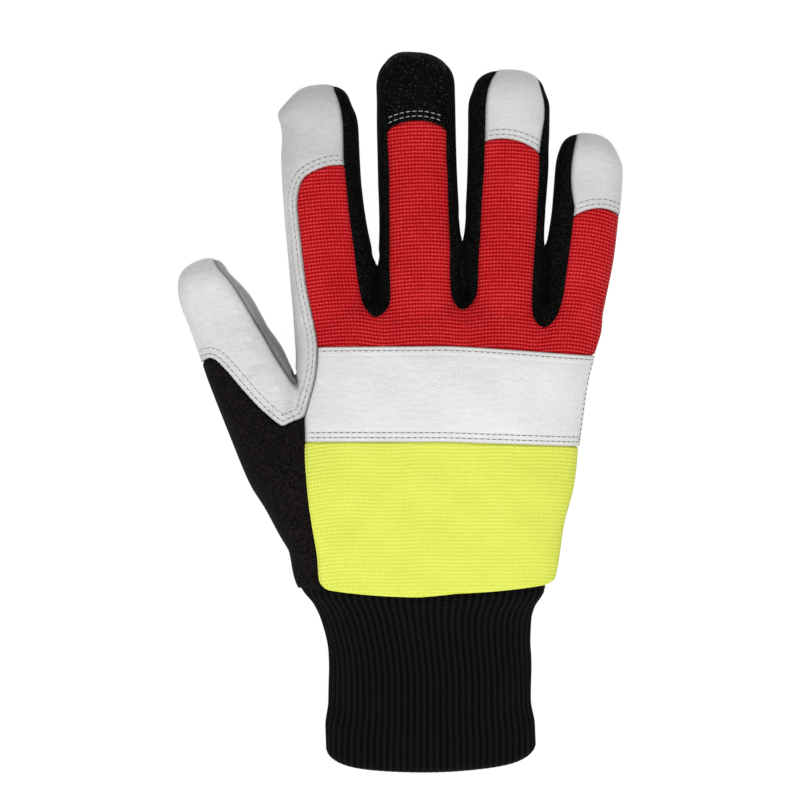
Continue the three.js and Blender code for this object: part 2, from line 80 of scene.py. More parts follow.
# %% Floor and light
FLOOR_HALF, FLOOR_DROP = 4, 0.0002  # half its side, and how far it lies below the glove, in metres
WHITE = (1, 1, 1, 1)


def set_inputs(owner, values):
    """Sets some inputs of a node."""
    for key, value in values.items():
        owner.inputs[key].default_value = value


def new_finish(name, roughness=0.6, sheen=0.0, specular=0.5):
    """A material and its node tree."""
    material = bpy.data.materials.new(name)
    material.use_nodes = True
    set_inputs(material.node_tree.nodes["Principled BSDF"], {
        "Roughness": roughness, "Sheen Weight": sheen, "Sheen Roughness": 0.4, "Specular IOR Level": specular,
    })
    return material, material.node_tree


floor_mesh = bpy.data.meshes.new("floor")
floor_corners = [(x * FLOOR_HALF, y * FLOOR_HALF, 0) for x, y in ((-1, -1), (1, -1), (1, 1), (-1, 1))]
floor_mesh.from_pydata(floor_corners, [], [(0, 1, 2, 3)])
floor = added("floor", floor_mesh)
floor.location.z = -FLOOR_DROP
floor_paint, tree = new_finish("floor_paint", 0.9, specular=0.05)
glow = {"Base Color": (0.1, 0.1, 0.1, 1), "Emission Color": WHITE, "Emission Strength": 0.93}
set_inputs(tree.nodes["Principled BSDF"], glow)
floor_mesh.materials.append(floor_paint)


def softbox(name, place, size, power):
    """A square lamp that shines at the middle of the glove."""
    lamp = bpy.data.lights.new(name, "AREA")
    lamp.shape, lamp.size, lamp.energy = "SQUARE", size, power
    lit = added(name, lamp)
    lit.location = place
    lit.rotation_mode = "QUATERNION"
    lit.rotation_quaternion = (-Vector(place)).to_track_quat("-Z", "Y")


softbox("softbox_above", (0.1, -0.1, 1.7), 1.1, 15.8)
softbox("softbox_low", (-0.15, -1.2, 1.15), 1.2, 13.0)
world = bpy.data.worlds.new("white_room")
world.use_nodes = True
set_inputs(world.node_tree.nodes["Background"], {"Color": WHITE, "Strength": 0.36})
bpy.context.scene.world = world
bpy.context.scene.view_settings.view_transform = "Standard"

# %% [markdown]
# ## The measures
# These are the sizes of the CAD part, so that both models have the same shape. Most rows are shares
# of a named size. A section of the hand, thumb or cuff is one row of its table.

# %% Measures of the hand, thumb and cuff
HAND_LENGTH, HAND_WIDTH, HAND_HEIGHT = 109.4, 119.6, 35.0
HALF_HAND = HAND_WIDTH / 2
WRIST_Y = -65.2
KNUCKLE_Y = WRIST_Y + HAND_LENGTH
KNUCKLE_SHIFT, KNUCKLE_LENGTH, BAND_LENGTH = 6.4, 12.0, 37.4
THUMB_LENGTH, THUMB_WIDTH, THUMB_HEIGHT, THUMB_LEAN = 123.3, 27.2, 25.0, math.radians(23.5)
THUMB_ROOT = np.array([-40.6, WRIST_Y + 18.4])
CUFF_LENGTH, CUFF_WIDTH, CUFF_HEIGHT, CUFF_RIBS = 67.3, 78.4, 25.0, 72
WRIST_SAG, HEM_SAG = 5.7, 11.0
SIDE_SEAM_HEIGHT = 9.0  # the palm leather ends this high on the sides
SQUARENESS, TIP_SQUARENESS, TIP_SHARE = 2.5, 2.4, 0.45
FLOOR_SINK, ROOT_DEPTH, ROOT_SIZE, WEB_OVERLAP, WEB_EASE = 1.2, 20.0, 0.7, 1.0, 26.0

# along, left, right, base, top
HAND_SECTIONS = np.array([
    (-0.1, -0.84, 0.775, 0, 0.84), (0.02, -0.848, 0.782, 0, 0.86), (0.133, -0.905, 0.84, 0, 0.9),
    (0.275, -0.965, 0.892, 0, 0.95), (0.418, -1.04, 0.944, 0, 1), (0.56, -1, 0.967, 0, 1.02),
    (0.703, -0.91, 1.005, 0, 1), (0.846, -0.87, 1.065, 0, 0.95), (0.953, -0.885, 1.11, 0, 0.87),
    (1, -0.893, 1.115, 0.02, 0.82), (1.04, -0.87, 1.07, 0.08, 0.74), (1.065, -0.84, 1.02, 0.25, 0.5),
])
# along from the tip, half width, shift, top
THUMB_SECTIONS = np.array([
    (0, 0.9, -0.13, 1), (0.1, 0.92, -0.1, 1), (0.17, 1, -0.02, 1), (0.27, 1.08, 0, 1.03),
    (0.34, 1.15, 0, 1.06), (0.52, 1.21, 0, 1.14), (0.71, 1.25, 0, 1.22), (0.81, 1.15, 0, 1.22),
    (0.9, 1.05, 0, 1.18), (1, 0.9, 0, 1.1),
])
# along from the seam, half width, top
CUFF_SECTIONS = np.array([
    (-0.1, 1.3, 1.2), (0.04, 1.17, 1.13), (0.1, 1.09, 1.06), (0.18, 1.04, 1.02), (0.36, 1, 1),
    (0.66, 1, 1), (0.84, 1.035, 1.04), (0.97, 1.035, 1.04), (1, 1, 0.97),
])

# %% Measures of the fingers
MIDDLE_LENGTH, FINGER_WIDTH, FINGER_HEIGHT = 103.2, 30.5, 25.0
# foot is how far the foot of the strip on a finger's right lies to the right of the fingers' roots,
# in mm. The last eight are where the seams of the back run, in half widths of the finger: left and
# right, each at its root, at its cap's edge and at its tip, and how much it bulges beside the cap.
FINGER_COLUMNS = (
    "length width height lean bow root_from root_to strip foot cap_length cap_peak "
    "left_root left_cap left_tip left_bulge right_root right_cap right_tip right_bulge"
).split()
FINGER_ROWS = {
    "index": (0.878, 0.984, 0.96, -4.1, -0.056, 0, 0.274, 0, -1.0, 0.308, 0.4,
              -0.68, -0.66, -0.6, 0, 0.75, 0.65, 0.35, 0.02),
    "middle": (1, 1, 1, -1.6, 0.003, 0.274, 0.557, 0.031, -0.9, 0.263, 0,
               -0.78, -0.75, -0.67, 0, 0.79, 0.8, 0.86, 0),
    "ring": (0.934, 1.016, 0.96, 1.2, 0.01, 0.557, 0.812, -0.039, 0.4, 0.265, -0.15,
             -0.74, -0.61, -0.27, 0, 0.68, 0.83, 0.6, 0.1),
    "little": (0.697, 0.852, 0.88, 6.1, 0.043, 0.812, 1, 0, 0, 0.279, 0.5,
               -0.4, -0.38, -0.4, -0.2, 2, 2, 2, 0),
}
WHOLES = {
    "length": MIDDLE_LENGTH, "strip": MIDDLE_LENGTH, "cap_length": MIDDLE_LENGTH,
    "width": FINGER_WIDTH, "bow": FINGER_WIDTH, "height": FINGER_HEIGHT, "lean": math.radians(1),
}
FINGERS = []
for finger_name, row in FINGER_ROWS.items():
    finger = dict(zip(FINGER_COLUMNS, row), name=finger_name)
    FINGERS.append(finger | {share: finger[share] * whole for share, whole in WHOLES.items()})
index, middle, ring, little = FINGERS
print("finger lengths", [round(f["length"], 1) for f in FINGERS])

# %% [markdown]
# ## The form under the pattern
# A glove keeps the shape of a hand. That shape is lofted here from many ovals: the hand, four
# fingers and the thumb. They are then melted into one skin with a voxel remesh and relaxed, so that
# the webs between the fingers come out as soft hollows, the way cloth bridges them. The form is a
# last, as shoemakers use: pieces are cut from its surface, and it is not part of the glove itself.
# It is made twice, with a fine grain for leather and fleece and a coarser one for the two ribbed
# fabrics, which get their fine points from their ribs.


# %% Reading a table smoothly
def read(table, column, at):
    """Reads a column between its rows, along a smooth curve that never overshoots the rows."""
    knots, values = table[:, 0], table[:, column]
    step = np.diff(knots)
    slope = np.diff(values) / step
    inner = np.zeros(len(knots) - 2)
    same = slope[:-1] * slope[1:] > 0
    inner[same] = 2 / (1 / slope[:-1][same] + 1 / slope[1:][same])
    tangent = np.concatenate([[slope[0]], inner, [slope[-1]]])
    i = np.clip(np.searchsorted(knots, at, side="right") - 1, 0, len(knots) - 2)
    t = np.clip((at - knots[i]) / step[i], 0, 1)
    return (
        values[i] * (1 + 2 * t) * (1 - t) ** 2
        + values[i + 1] * t * t * (3 - 2 * t)
        + step[i] * t * (1 - t) * (tangent[i] * (1 - t) - tangent[i + 1] * t)
    )


def mix(a, b, share):
    return a + (b - a) * share


def smooth_step(share):
    share = np.clip(share, 0, 1)
    return share * share * (3 - 2 * share)


def tip_round(share):
    """How wide a fingertip still is at a share of its rounded length."""
    return (1 - (1 - np.minimum(1, share)) ** TIP_SQUARENESS) ** (1 / TIP_SQUARENESS)


# %% Ovals and lofts
def oval_ring(centre, across, half, bottom, top, sides):
    """A squarish oval, standing upright across a direction of the plan."""
    turn = 2 * np.pi * np.arange(sides) / sides
    side, rise = (np.sign(v) * np.abs(v) ** (2 / SQUARENESS) for v in (np.cos(turn), np.sin(turn)))
    z = (top + bottom) / 2 + rise * (top - bottom) / 2
    return np.column_stack([centre[0] + across[0] * side * half, centre[1] + across[1] * side * half, z])


def loft(rings):
    """Skins a row of rings with quads and closes both ends. Returns points and faces."""
    sides, faces = len(rings[0]), []
    for r in range(len(rings) - 1):
        for i in range(sides):
            a, b = r * sides + i, r * sides + (i + 1) % sides
            faces.append((a, b, b + sides, a + sides))
    faces.append(tuple(range(sides - 1, -1, -1)))
    faces.append(tuple(range((len(rings) - 1) * sides, len(rings) * sides)))
    return np.concatenate(rings), faces


# %% The hand
HAND_SIDES = 96


def hand_rings():
    rings = []
    for along in [*np.linspace(-0.1, 1, 56), 1.02, 1.04, 1.0525, 1.065]:
        left, right, base, top = (read(HAND_SECTIONS, k, along) for k in (1, 2, 3, 4))
        centre = ((left + right) / 2 * HALF_HAND, WRIST_Y + along * HAND_LENGTH)
        half = (right - left) / 2 * HALF_HAND
        bottom, top = base * HAND_HEIGHT - FLOOR_SINK, top * HAND_HEIGHT
        rings.append(oval_ring(centre, (1, 0), half, bottom, top, HAND_SIDES))
    return rings


def knuckle_top(x):
    """Height of the back of the hand at the knuckles, where each finger starts level with it."""
    left, right, top = (read(HAND_SECTIONS, k, 1.0) for k in (1, 2, 4))
    share = min(0.95, abs(x - (left + right) / 2 * HALF_HAND) / ((right - left) / 2 * HALF_HAND))
    top = top * HAND_HEIGHT
    rise = (1 - share**SQUARENESS) ** (1 / SQUARENESS)
    return (top - FLOOR_SINK) / 2 + rise * (top + FLOOR_SINK) / 2


# %% The fingers
def root_x(share):
    return KNUCKLE_SHIFT - HALF_HAND + share * HAND_WIDTH


def finger_point(finger, along, side):
    """A plan point of a finger: along it from the knuckles, and across it."""
    sine, cosine = math.sin(finger["lean"]), math.cos(finger["lean"])
    share = max(0, along / finger["length"])
    across = side + finger["bow"] * 4 * share * (1 - share)
    x = root_x((finger["root_from"] + finger["root_to"]) / 2)
    return np.array([x + sine * along + cosine * across, KNUCKLE_Y + cosine * along - sine * across])


# Where each gap opens along the fingers, its full width, how slowly it widens, and how far its
# middle lies to the right of half way between them, where it opens and further on
GAPS = ((19.6, 7.6, 14.0, 0.95, 0.0), (29.5, 5.6, 18.0, 0.0, 0.0), (27.0, 3.4, 14.0, 0.6, 1.5))
SHIFT_REACH = 32.0  # how far "further on" is, in mm
MELT_GAP = 3.0  # a narrower gap would be lost when the form is melted


def gap_width(number, along):
    start, width, ease = GAPS[number][:3]
    return width * (1 - np.exp(-np.maximum(0, along - start) / ease))


def gap_middle(number, along):
    """A gap's middle in the plan, half the way between its two fingers' middles, and its shift."""
    start, shift, shift_far = GAPS[number][0], *GAPS[number][3:]
    left, right = (finger_point(FINGERS[number + k], along, 0) for k in (0, 1))
    shift = mix(shift, shift_far, np.clip((along - start) / SHIFT_REACH, 0, 1))
    apart = np.linalg.norm(right - left)
    return (left + right) / 2 + (right - left) / apart * shift, apart / 2, shift


def finger_reach(number, direction, along):
    """How far a finger reaches to one side. Up to the gap it meets its neighbour."""
    finger = FINGERS[number]
    root = (finger["root_to"] - finger["root_from"]) * HALF_HAND
    if not 0 <= number + direction < len(FINGERS):
        return mix(finger["width"] / 2, root, max(0, 1 - max(0, along) / WEB_EASE) ** 1.5)
    gap = min(number, number + direction)
    start = GAPS[gap][0]
    _, half, shift = gap_middle(gap, along)
    web = np.interp(along, [start - 4, start + 1], [-WEB_OVERLAP, MELT_GAP / 2])
    half_gap = max(web, gap_width(gap, along) / 2)
    return mix(root, half + direction * shift, smooth_step(along / start)) - half_gap


TIP_STEPS = 1 - np.cos(np.linspace(0.08, np.pi / 2, 14))  # where the rings of a rounded tip are
DIGIT_SIDES = 64


def digit_ring(centre, lean, half, height, size):
    """A ring of a finger or the thumb. Towards the tip its size goes down to 0 about its middle."""
    height = height + FLOOR_SINK
    centre_z = height / 2 - FLOOR_SINK
    low, high = centre_z - height / 2 * size, centre_z + height / 2 * size
    return oval_ring(centre, (math.cos(lean), math.sin(lean)), half, low, high, DIGIT_SIDES)


def finger_rings(number):
    finger = FINGERS[number]
    tip, length = TIP_SHARE * finger["width"], finger["length"]
    root_top = knuckle_top(finger_point(finger, 0, 0)[0])
    rings = []
    for along in [-ROOT_DEPTH, *np.linspace(0, length - tip, 60)[:-1], *(length - TIP_STEPS[::-1] * tip)]:
        size = ROOT_SIZE if along < 0 else tip_round((length - along) / tip)
        left, right = (finger_reach(number, way, along) * size for way in (-1, 1))
        near_root = max(0, 1 - max(0, along) / (0.4 * length))
        height = mix(finger["height"], root_top, near_root)
        centre = finger_point(finger, along, (right - left) / 2)
        rings.append(digit_ring(centre, -finger["lean"], (left + right) / 2, height, size))
    return rings


# %% The thumb
def thumb_point(along, across):
    """A plan point of the thumb: a share of its length from the tip, and across it in half widths."""
    up, side = (1 - along) * THUMB_LENGTH, across * THUMB_WIDTH / 2
    sine, cosine = math.sin(THUMB_LEAN), math.cos(THUMB_LEAN)
    return THUMB_ROOT + np.array([-sine * up + cosine * side, cosine * up + sine * side])


def thumb_rings():
    tip = TIP_SHARE * THUMB_WIDTH
    rings = []
    for along in [*(TIP_STEPS * tip / THUMB_LENGTH), *np.linspace(tip / THUMB_LENGTH, 1, 34)[1:]]:
        wide, shift, top = (read(THUMB_SECTIONS, k, along) for k in (1, 2, 3))
        size = tip_round(along * THUMB_LENGTH / tip)
        half = wide * THUMB_WIDTH / 2 * size
        rings.append(digit_ring(thumb_point(along, shift), THUMB_LEAN, half, top * THUMB_HEIGHT, size))
    return rings


# %% Melting the lofts into one form
FINE_GRAIN, COARSE_GRAIN = 0.95, 1.5  # size of a form's faces, in mm


def joined(parts):
    """Several shapes, each its points and faces, as one."""
    starts = np.cumsum([0] + [len(points) for points, _ in parts])
    faces = [[start + i for i in face] for (_, part), start in zip(parts, starts) for face in part]
    return np.concatenate([points for points, _ in parts]), faces


all_rings = [hand_rings(), thumb_rings(), *(finger_rings(i) for i in range(len(FINGERS)))]
loft_points, loft_faces = joined([loft(rings) for rings in all_rings])
lofts = bpy.data.meshes.new("lofts")
lofts.from_pydata((loft_points * MM).tolist(), [], loft_faces)


def melted(grain):
    """The lofts as one skin of small, even faces. Returns points and triangles."""
    last = added("last", lofts)
    remesh = last.modifiers.new("melt", "REMESH")
    remesh.mode = "VOXEL"
    remesh.voxel_size = grain * MM
    bpy.context.view_layer.update()
    skin = last.evaluated_get(bpy.context.evaluated_depsgraph_get()).to_mesh()
    skin.calc_loop_triangles()
    points, tris = np.zeros(len(skin.vertices) * 3), np.zeros(len(skin.loop_triangles) * 3, np.int64)
    skin.vertices.foreach_get("co", points)
    skin.loop_triangles.foreach_get("vertices", tris)
    bpy.data.objects.remove(last)
    return points.reshape(-1, 3) / MM, tris.reshape(-1, 3)


# %% Relaxing it and laying it flat on its palm
def relaxed(values, edges, times, share=0.5):
    """Moves every point's values towards its neighbours' mean, a few times over."""
    neighbours = np.bincount(edges.ravel(), minlength=len(values))[:, None]
    for _ in range(times):
        total = np.column_stack([
            np.bincount(edges[:, 0], values[edges[:, 1], k], len(values))
            + np.bincount(edges[:, 1], values[edges[:, 0], k], len(values))
            for k in range(values.shape[1])
        ])
        values = values + share * (total / neighbours - values)
    return values


def unit(vectors):
    """The same directions, each of length 1."""
    return vectors / np.maximum(np.linalg.norm(vectors, axis=1, keepdims=True), 1e-9)


def edges_of(tris):
    """The three edges of every triangle, each in the direction that it turns."""
    return np.concatenate([tris[:, [0, 1]], tris[:, [1, 2]], tris[:, [2, 0]]])


def corner_normals(points, tris):
    """Smooth normals of the points."""
    a, b, c = points[tris[:, 0]], points[tris[:, 1]], points[tris[:, 2]]
    face = np.cross(b - a, c - a)
    return unit(np.column_stack([
        sum(np.bincount(tris[:, corner], face[:, k], len(points)) for corner in range(3)) for k in range(3)
    ]))


def form_of(grain, rounds):
    """A relaxed form of that grain: its points, their normals and its triangles."""
    points, tris = melted(grain)
    edges = np.unique(np.sort(edges_of(tris), axis=1), axis=0)
    for _ in range(rounds):  # in and back out again, so that the form doesn't shrink
        points = relaxed(relaxed(points, edges, 1, 0.55), edges, 1, -0.5)
    points[:, 2] = np.maximum(points[:, 2], 0)
    points = relaxed(points, edges, 2, 0.4)
    points[:, 2] = np.maximum(points[:, 2], 0)
    normals = unit(relaxed(corner_normals(points, tris), edges, 3))
    print("form of", grain, "mm:", len(tris), "triangles, size", np.ptp(points, axis=0).round(1))
    return points, normals, tris


FINE, COARSE = form_of(FINE_GRAIN, 4), form_of(COARSE_GRAIN, 2)
bpy.data.meshes.remove(lofts)

# %% [markdown]
# ## The seams
# The pattern's seams are drawn in plan, as the glove lies, and each one is turned into a distance:
# how far every point of the form is inside or outside it. A piece is then simply where some
# distances are positive and others negative. The same distances later place the hollows beside the
# seams, the laps of one piece over another and the rows of stitches.

# %% Tables of the seams
# along, across
LEFT_SEAM = np.array([
    (-0.2, -0.66), (-0.01, -0.704), (0.068, -0.73), (0.168, -0.743), (0.268, -0.77), (0.368, -0.796),
    (0.489, -0.815), (0.57, -0.818), (0.65, -0.82), (0.696, -0.796), (0.796, -0.75), (0.888, -0.737),
    (0.93, -0.745),
])
LEFT_SEAM_FORK = 8  # the row where the suede meets the thumb leather
# across, top, bottom
BAND_EDGES = np.array([
    (-3, 0, 0.027), (-0.8, 0, 0.027), (0.1, 0.015, 0.027), (1.1, -0.09, -0.03), (3, -0.09, -0.03),
])
# along the thumb from its tip, across it in half widths
GUSSET_SEAM = np.array([
    (0.584, 0.29), (0.556, 0.14), (0.5, -0.1), (0.426, -0.33), (0.35, -0.54), (0.303, -0.74),
    (0.293, -1.01), (0.305, -1.3), (0.35, -3),
])
THUMB_SEAM = np.array([
    (-0.1, 0.1), (0, 0.35), (0.05, 0.47), (0.1, 0.61), (0.17, 0.7), (0.233, 0.78), (0.3, 0.86),
    (0.364, 0.9), (0.417, 0.965), (0.458, 1.03), (0.489, 1.1),
])
THUMB_GAP = np.array([(0.473, 1.17), (0.3, 1.37), (0.1, 1.6), (-0.1, 1.6)])
THUMB_FOOT = 0.52  # where the leather beneath the thumb ends, along the thumb
STRIP_STEPS = (1.15, 1.07, 1, 0.975, 0.95, 0.915, 0.88, 0.84, 0.8, 0.74, 0.68, 0.59, 0.5, 0.41, 0.32)
CAP_SAG, CAP_REACH = 5.4, 1.24  # how a cap's edge sags, and how far it runs, in half widths
STRIP_ROUND = 5.0  # how far above a strip's foot its sides start to bend in
FAR, PAST_TIP = 400.0, 1.2  # well outside the glove, in mm and in lengths of a finger
SPLINE_STEPS = 6  # of a smooth line, between two of its points


# %% Drawing them
def spline(points):
    """A smooth line through the points, with some steps between each two."""
    points = np.asarray(points, float)
    padded = np.concatenate([[2 * points[0] - points[1]], points, [2 * points[-1] - points[-2]]])
    t = (np.arange(SPLINE_STEPS) / SPLINE_STEPS)[:, None]
    line = []
    for p, q, r, s in zip(padded, padded[1:], padded[2:], padded[3:]):
        bend, twist = p - 2.5 * q + 2 * r - s / 2, 1.5 * (q - r) + (s - p) / 2
        line.append(q + t * (r - p) / 2 + t**2 * bend + t**3 * twist)
    return np.concatenate([*line, points[-1:]])


def finger_seam(finger, side, along):
    """A plan point of the seam on one side of a finger's back."""
    root, cap, tip, swell = (finger[f"{side}_{place}"] for place in ("root", "cap", "tip", "bulge"))
    cap_start = finger["length"] - finger["cap_length"]
    past = np.clip((along - cap_start) / finger["cap_length"], 0, 1)
    share = mix(mix(root, cap, np.clip(along / cap_start, 0, 1)), tip, past**4)
    return finger_point(finger, along, (share + swell * 4 * past * (1 - past)) * finger["width"] / 2)


def strip_foot(finger):
    return np.array([root_x(finger["root_to"]) + finger["foot"], KNUCKLE_Y + finger["strip"]])


def strip_outline(finger, other):
    """Down beside one finger, round the strip's foot and up beside the other finger."""
    down = [finger_seam(finger, "right", s * finger["length"]) for s in STRIP_STEPS]
    up = [finger_seam(other, "left", s * other["length"]) for s in reversed(STRIP_STEPS)]
    foot = strip_foot(finger)
    (a_high, b_high), (a_low, b_low) = (
        [mix(finger_seam(f, side, finger["strip"] + rise * STRIP_ROUND), foot, pull)
         for f, side in ((finger, "right"), (other, "left"))]
        for rise, pull in ((2.6, 0), (1.0, 0.15))
    )
    return np.concatenate([down, spline([a_high, a_low, foot, b_low, b_high]), up])


def cap_edge(finger, start=-CAP_REACH, end=CAP_REACH, steps=24):
    """The edge of a finger's cap, between two places across the finger in half widths."""
    line = []
    for share in np.linspace(start, end, steps + 1):
        sag = CAP_SAG * min(1.2, abs(share - finger["cap_peak"])) ** 2
        along = finger["length"] - finger["cap_length"] - sag
        line.append(finger_point(finger, along, share * finger["width"] / 2))
    return np.array(line)


def beyond_tip(finger, side=1):
    return finger_point(finger, PAST_TIP * finger["length"], side * CAP_REACH * finger["width"] / 2)


left_seam = spline([(across * HALF_HAND, WRIST_Y + along * HAND_LENGTH) for along, across in LEFT_SEAM])
gusset_seam = spline([thumb_point(*row) for row in GUSSET_SEAM[:-1]])
thumb_seam = spline([thumb_point(*row) for row in THUMB_SEAM])
thumb_gap = np.array([thumb_point(*row) for row in THUMB_GAP])


def lengths(line):
    """How far along a line each of its points is."""
    return np.concatenate([[0], np.cumsum(np.linalg.norm(np.diff(line, axis=0), axis=1))])


def sampled(line, at, along):
    """The places on a line that are at some of the lengths along it."""
    return np.column_stack([np.interp(at, along, column) for column in line.T])


def eased_line(line, reach, step=0.6):
    """The line with its corners rounded over a reach on both sides."""
    along = lengths(line)
    line = sampled(line, np.linspace(0, along[-1], int(along[-1] / step)), along)
    wide = int(reach / step)
    window = np.ones(2 * wide + 1) / (2 * wide + 1)
    for _ in range(2):
        ends = np.concatenate([2 * line[:1] - line[wide:0:-1], line, 2 * line[-1:] - line[-2:-wide - 2:-1]])
        line = np.column_stack([np.convolve(column, window, "valid") for column in ends.T])
    return line


# The saddle's lapped edge, from the outside of the thumb over its V to the index fingertip
beside_red = eased_line(np.concatenate([
    left_seam[LEFT_SEAM_FORK * SPLINE_STEPS:],
    [finger_seam(index, "left", s * index["length"]) for s in (0.1, 0.175, 0.25, 0.325, 0.4, 0.46, 0.52)],
    cap_edge(index, index["left_cap"] + 0.12, CAP_REACH, 10),
]), 2.4)
saddle_line = eased_line(np.concatenate([gusset_seam[::-1], beside_red]), 1.0)
beyond = beyond_tip(index)
around_saddle = [beyond, (beyond[0], FAR), (-FAR, FAR), thumb_point(*GUSSET_SEAM[-1])]
saddle = np.concatenate([saddle_line, around_saddle])
gusset_side = np.concatenate([[(-FAR, -FAR)], left_seam, [(-FAR, FAR)]])
inner_thumb = np.concatenate([thumb_seam, thumb_gap])
thumb_sides = [thumb_point(*place) for place in ((THUMB_FOOT, -3), (-0.2, -3), (-0.2, 1.6))]
under_thumb = np.concatenate([thumb_sides, thumb_gap[::-1]])
strips = [strip_outline(*pair) for pair in ((index, middle), (middle, ring), (ring, little))]
caps = [np.concatenate([cap_edge(f), [beyond_tip(f), beyond_tip(f, -1)]]) for f in (middle, ring, little)]
print("seam lines drawn:", 7 + len(strips) + len(caps))


# %% Distances from them
def inside(outline, at):
    """How far the plan points are inside a closed outline. Outside it is negative."""
    least, odd = np.full(len(at), np.inf), np.zeros(len(at), bool)
    x, y = at[:, 0], at[:, 1]
    for a, b in zip(outline, np.roll(outline, -1, axis=0)):
        way = b - a
        length = way @ way
        if length < 1e-12:
            continue
        t = np.clip(((x - a[0]) * way[0] + (y - a[1]) * way[1]) / length, 0, 1)
        least = np.minimum(least, (x - a[0] - t * way[0]) ** 2 + (y - a[1] - t * way[1]) ** 2)
        if way[1] != 0:
            odd ^= ((a[1] > y) != (b[1] > y)) & (x < a[0] + way[0] * (y - a[1]) / way[1])
    return np.sqrt(least) * np.where(odd, 1, -1)


BAND_EASE = 3.0  # the band's edges are rounded over this, in mm
YELLOW_RIGHT = 47.5  # the yellow's hem rounds up beyond here, where the cuff shows below it
SUEDE_CORNER, CUFF_CORNER = 3.5, 5.0  # how round the yellow's two lower corners are
YELLOW_RISE, MORE_RISE = 0.8, 1.3  # how far its hem is above the wrist, and how much more on the right
FAR_AWAY = 60.0  # no distance is taken to be more


def band_edge_y(column, x):
    """Height in the plan of the band's top or bottom edge."""
    start = KNUCKLE_Y - KNUCKLE_LENGTH - (BAND_LENGTH if column == 2 else 0)
    knots = BAND_EDGES[:, 0] * HALF_HAND, BAND_EDGES[:, column] * BAND_LENGTH
    return start + sum(np.interp(x + ease, *knots) for ease in (-BAND_EASE, 0, BAND_EASE)) / 3


def ragged(distance, x, y):
    """A knife never cuts leather quite straight: the edge wavers by up to 0.2 mm."""
    distance = distance + 0.11 * np.sin(2.3 * x + 1.1 * y) * np.sin(1.9 * y - 0.8 * x)
    return distance + 0.07 * np.sin(4.1 * x - 2.9 * y)


def seam_distances(points):
    """All the distances of some points, by the name of what lies on the positive side."""
    plan, x, y, z = points[:, :2], *points.T
    wrist = WRIST_Y + WRIST_SAG * (x / HALF_HAND) ** 2
    found = {"low": SIDE_SEAM_HEIGHT - z, "hand": y - wrist}
    under = np.minimum(inside(under_thumb, plan), found["low"])
    found["thumb_palm"] = np.maximum(inside(inner_thumb, plan), under)
    for number, outline in enumerate(strips):
        found[f"strip_{number}"] = inside(outline, plan)
    for finger, outline in zip((middle, ring, little), caps):
        found[f"{finger['name']}_cap"] = inside(outline, plan)
    found["saddle"] = ragged(inside(saddle, plan), x, y)
    found["suede"] = np.minimum(inside(gusset_side, plan), -found["saddle"])
    right = YELLOW_RIGHT + 0.2 * (y - WRIST_Y) - x
    above_hem = found["hand"] - YELLOW_RISE - MORE_RISE * np.clip((x + 5) / 15, 0, 1)
    found["yellow_hem"] = np.min([
        radius - np.hypot(np.maximum(radius - side, 0), np.maximum(radius - above_hem, 0))
        for side, radius in ((-found["suede"], SUEDE_CORNER), (right, CUFF_CORNER))
    ], axis=0)
    found["below_band"] = band_edge_y(2, x) - y
    found["below_red"] = band_edge_y(1, x) - y
    return found


SEAM_NAMES = list(seam_distances(np.zeros((1, 3))))
print("distances:", ", ".join(SEAM_NAMES))

# %% [markdown]
# ## How the ribbed fabric lies
# The red and the yellow fabric are knitted with fine ribs across the hand. On each finger the ribs
# run straight across it, and between the knuckles they bend from one finger's direction to the
# next. So every point of the form gets two more numbers: how far it is up the fabric, which counts
# the ribs, and how far across, which counts the stitches along a rib.

# %% Up and across the fabric
RIB_DROOP = 1.4  # how far a rib droops on its way to a finger's side, in mm
BLEND, BLEND_BELOW = 2.5, 0.22  # how softly directions mix, and how much more so for each mm below


def fabric_places(points):
    """How far up the fabric and how far across it the points are."""
    x, y, z = points.T
    ups, acrosses, weights = [], [], []
    blend = BLEND + np.clip(KNUCKLE_Y + 8 - y, 0, 60) * BLEND_BELOW
    for finger in FINGERS:
        root = finger_point(finger, 0, 0)
        sine, cosine = math.sin(finger["lean"]), math.cos(finger["lean"])
        up = (x - root[0]) * sine + (y - root[1]) * cosine
        share = np.clip(up / finger["length"], 0, 1)
        across = (x - root[0]) * cosine - (y - root[1]) * sine - finger["bow"] * 4 * share * (1 - share)
        half = (finger["root_to"] - finger["root_from"]) * HALF_HAND
        ups.append(up + RIB_DROOP * np.minimum(1.3, np.abs(across) / half) ** 2)
        acrosses.append(across + root[0])
        weights.append(np.exp(-np.maximum(0, np.abs(across) - 0.55 * half) / blend))
    weights = np.array(weights) / np.sum(weights, axis=0)
    return (weights * ups).sum(0), (weights * acrosses).sum(0)


def form_table(points, normals, tris):
    """All that a form's points carry, in columns, and its triangles."""
    seams = [np.clip(d, -FAR_AWAY, FAR_AWAY) for d in seam_distances(points).values()]
    return np.column_stack([points, normals, *seams, *fabric_places(points)]), tris


FINE_TABLE, COARSE_TABLE = form_table(*FINE), form_table(*COARSE)
print("columns for each point:", FINE_TABLE[0].shape[1])

# %% [markdown]
# ## Cutting pieces from the form
# Two steps do all the cutting. The first splits triangles along a level of any number that the
# points carry, such as a seam's distance or the height up the fabric, so that an edge or a rib gets
# points exactly where it turns. The second keeps what is on one side of a level. Then a thin wall is
# made from each cut piece: its outside, the same shape a little deeper, and a rim between the two.

# %% Splitting and keeping
SNAP = 0.03  # a point this near to a cut counts as on it, in mm
CRUMB = 60  # a loose bit of so few triangles is left out


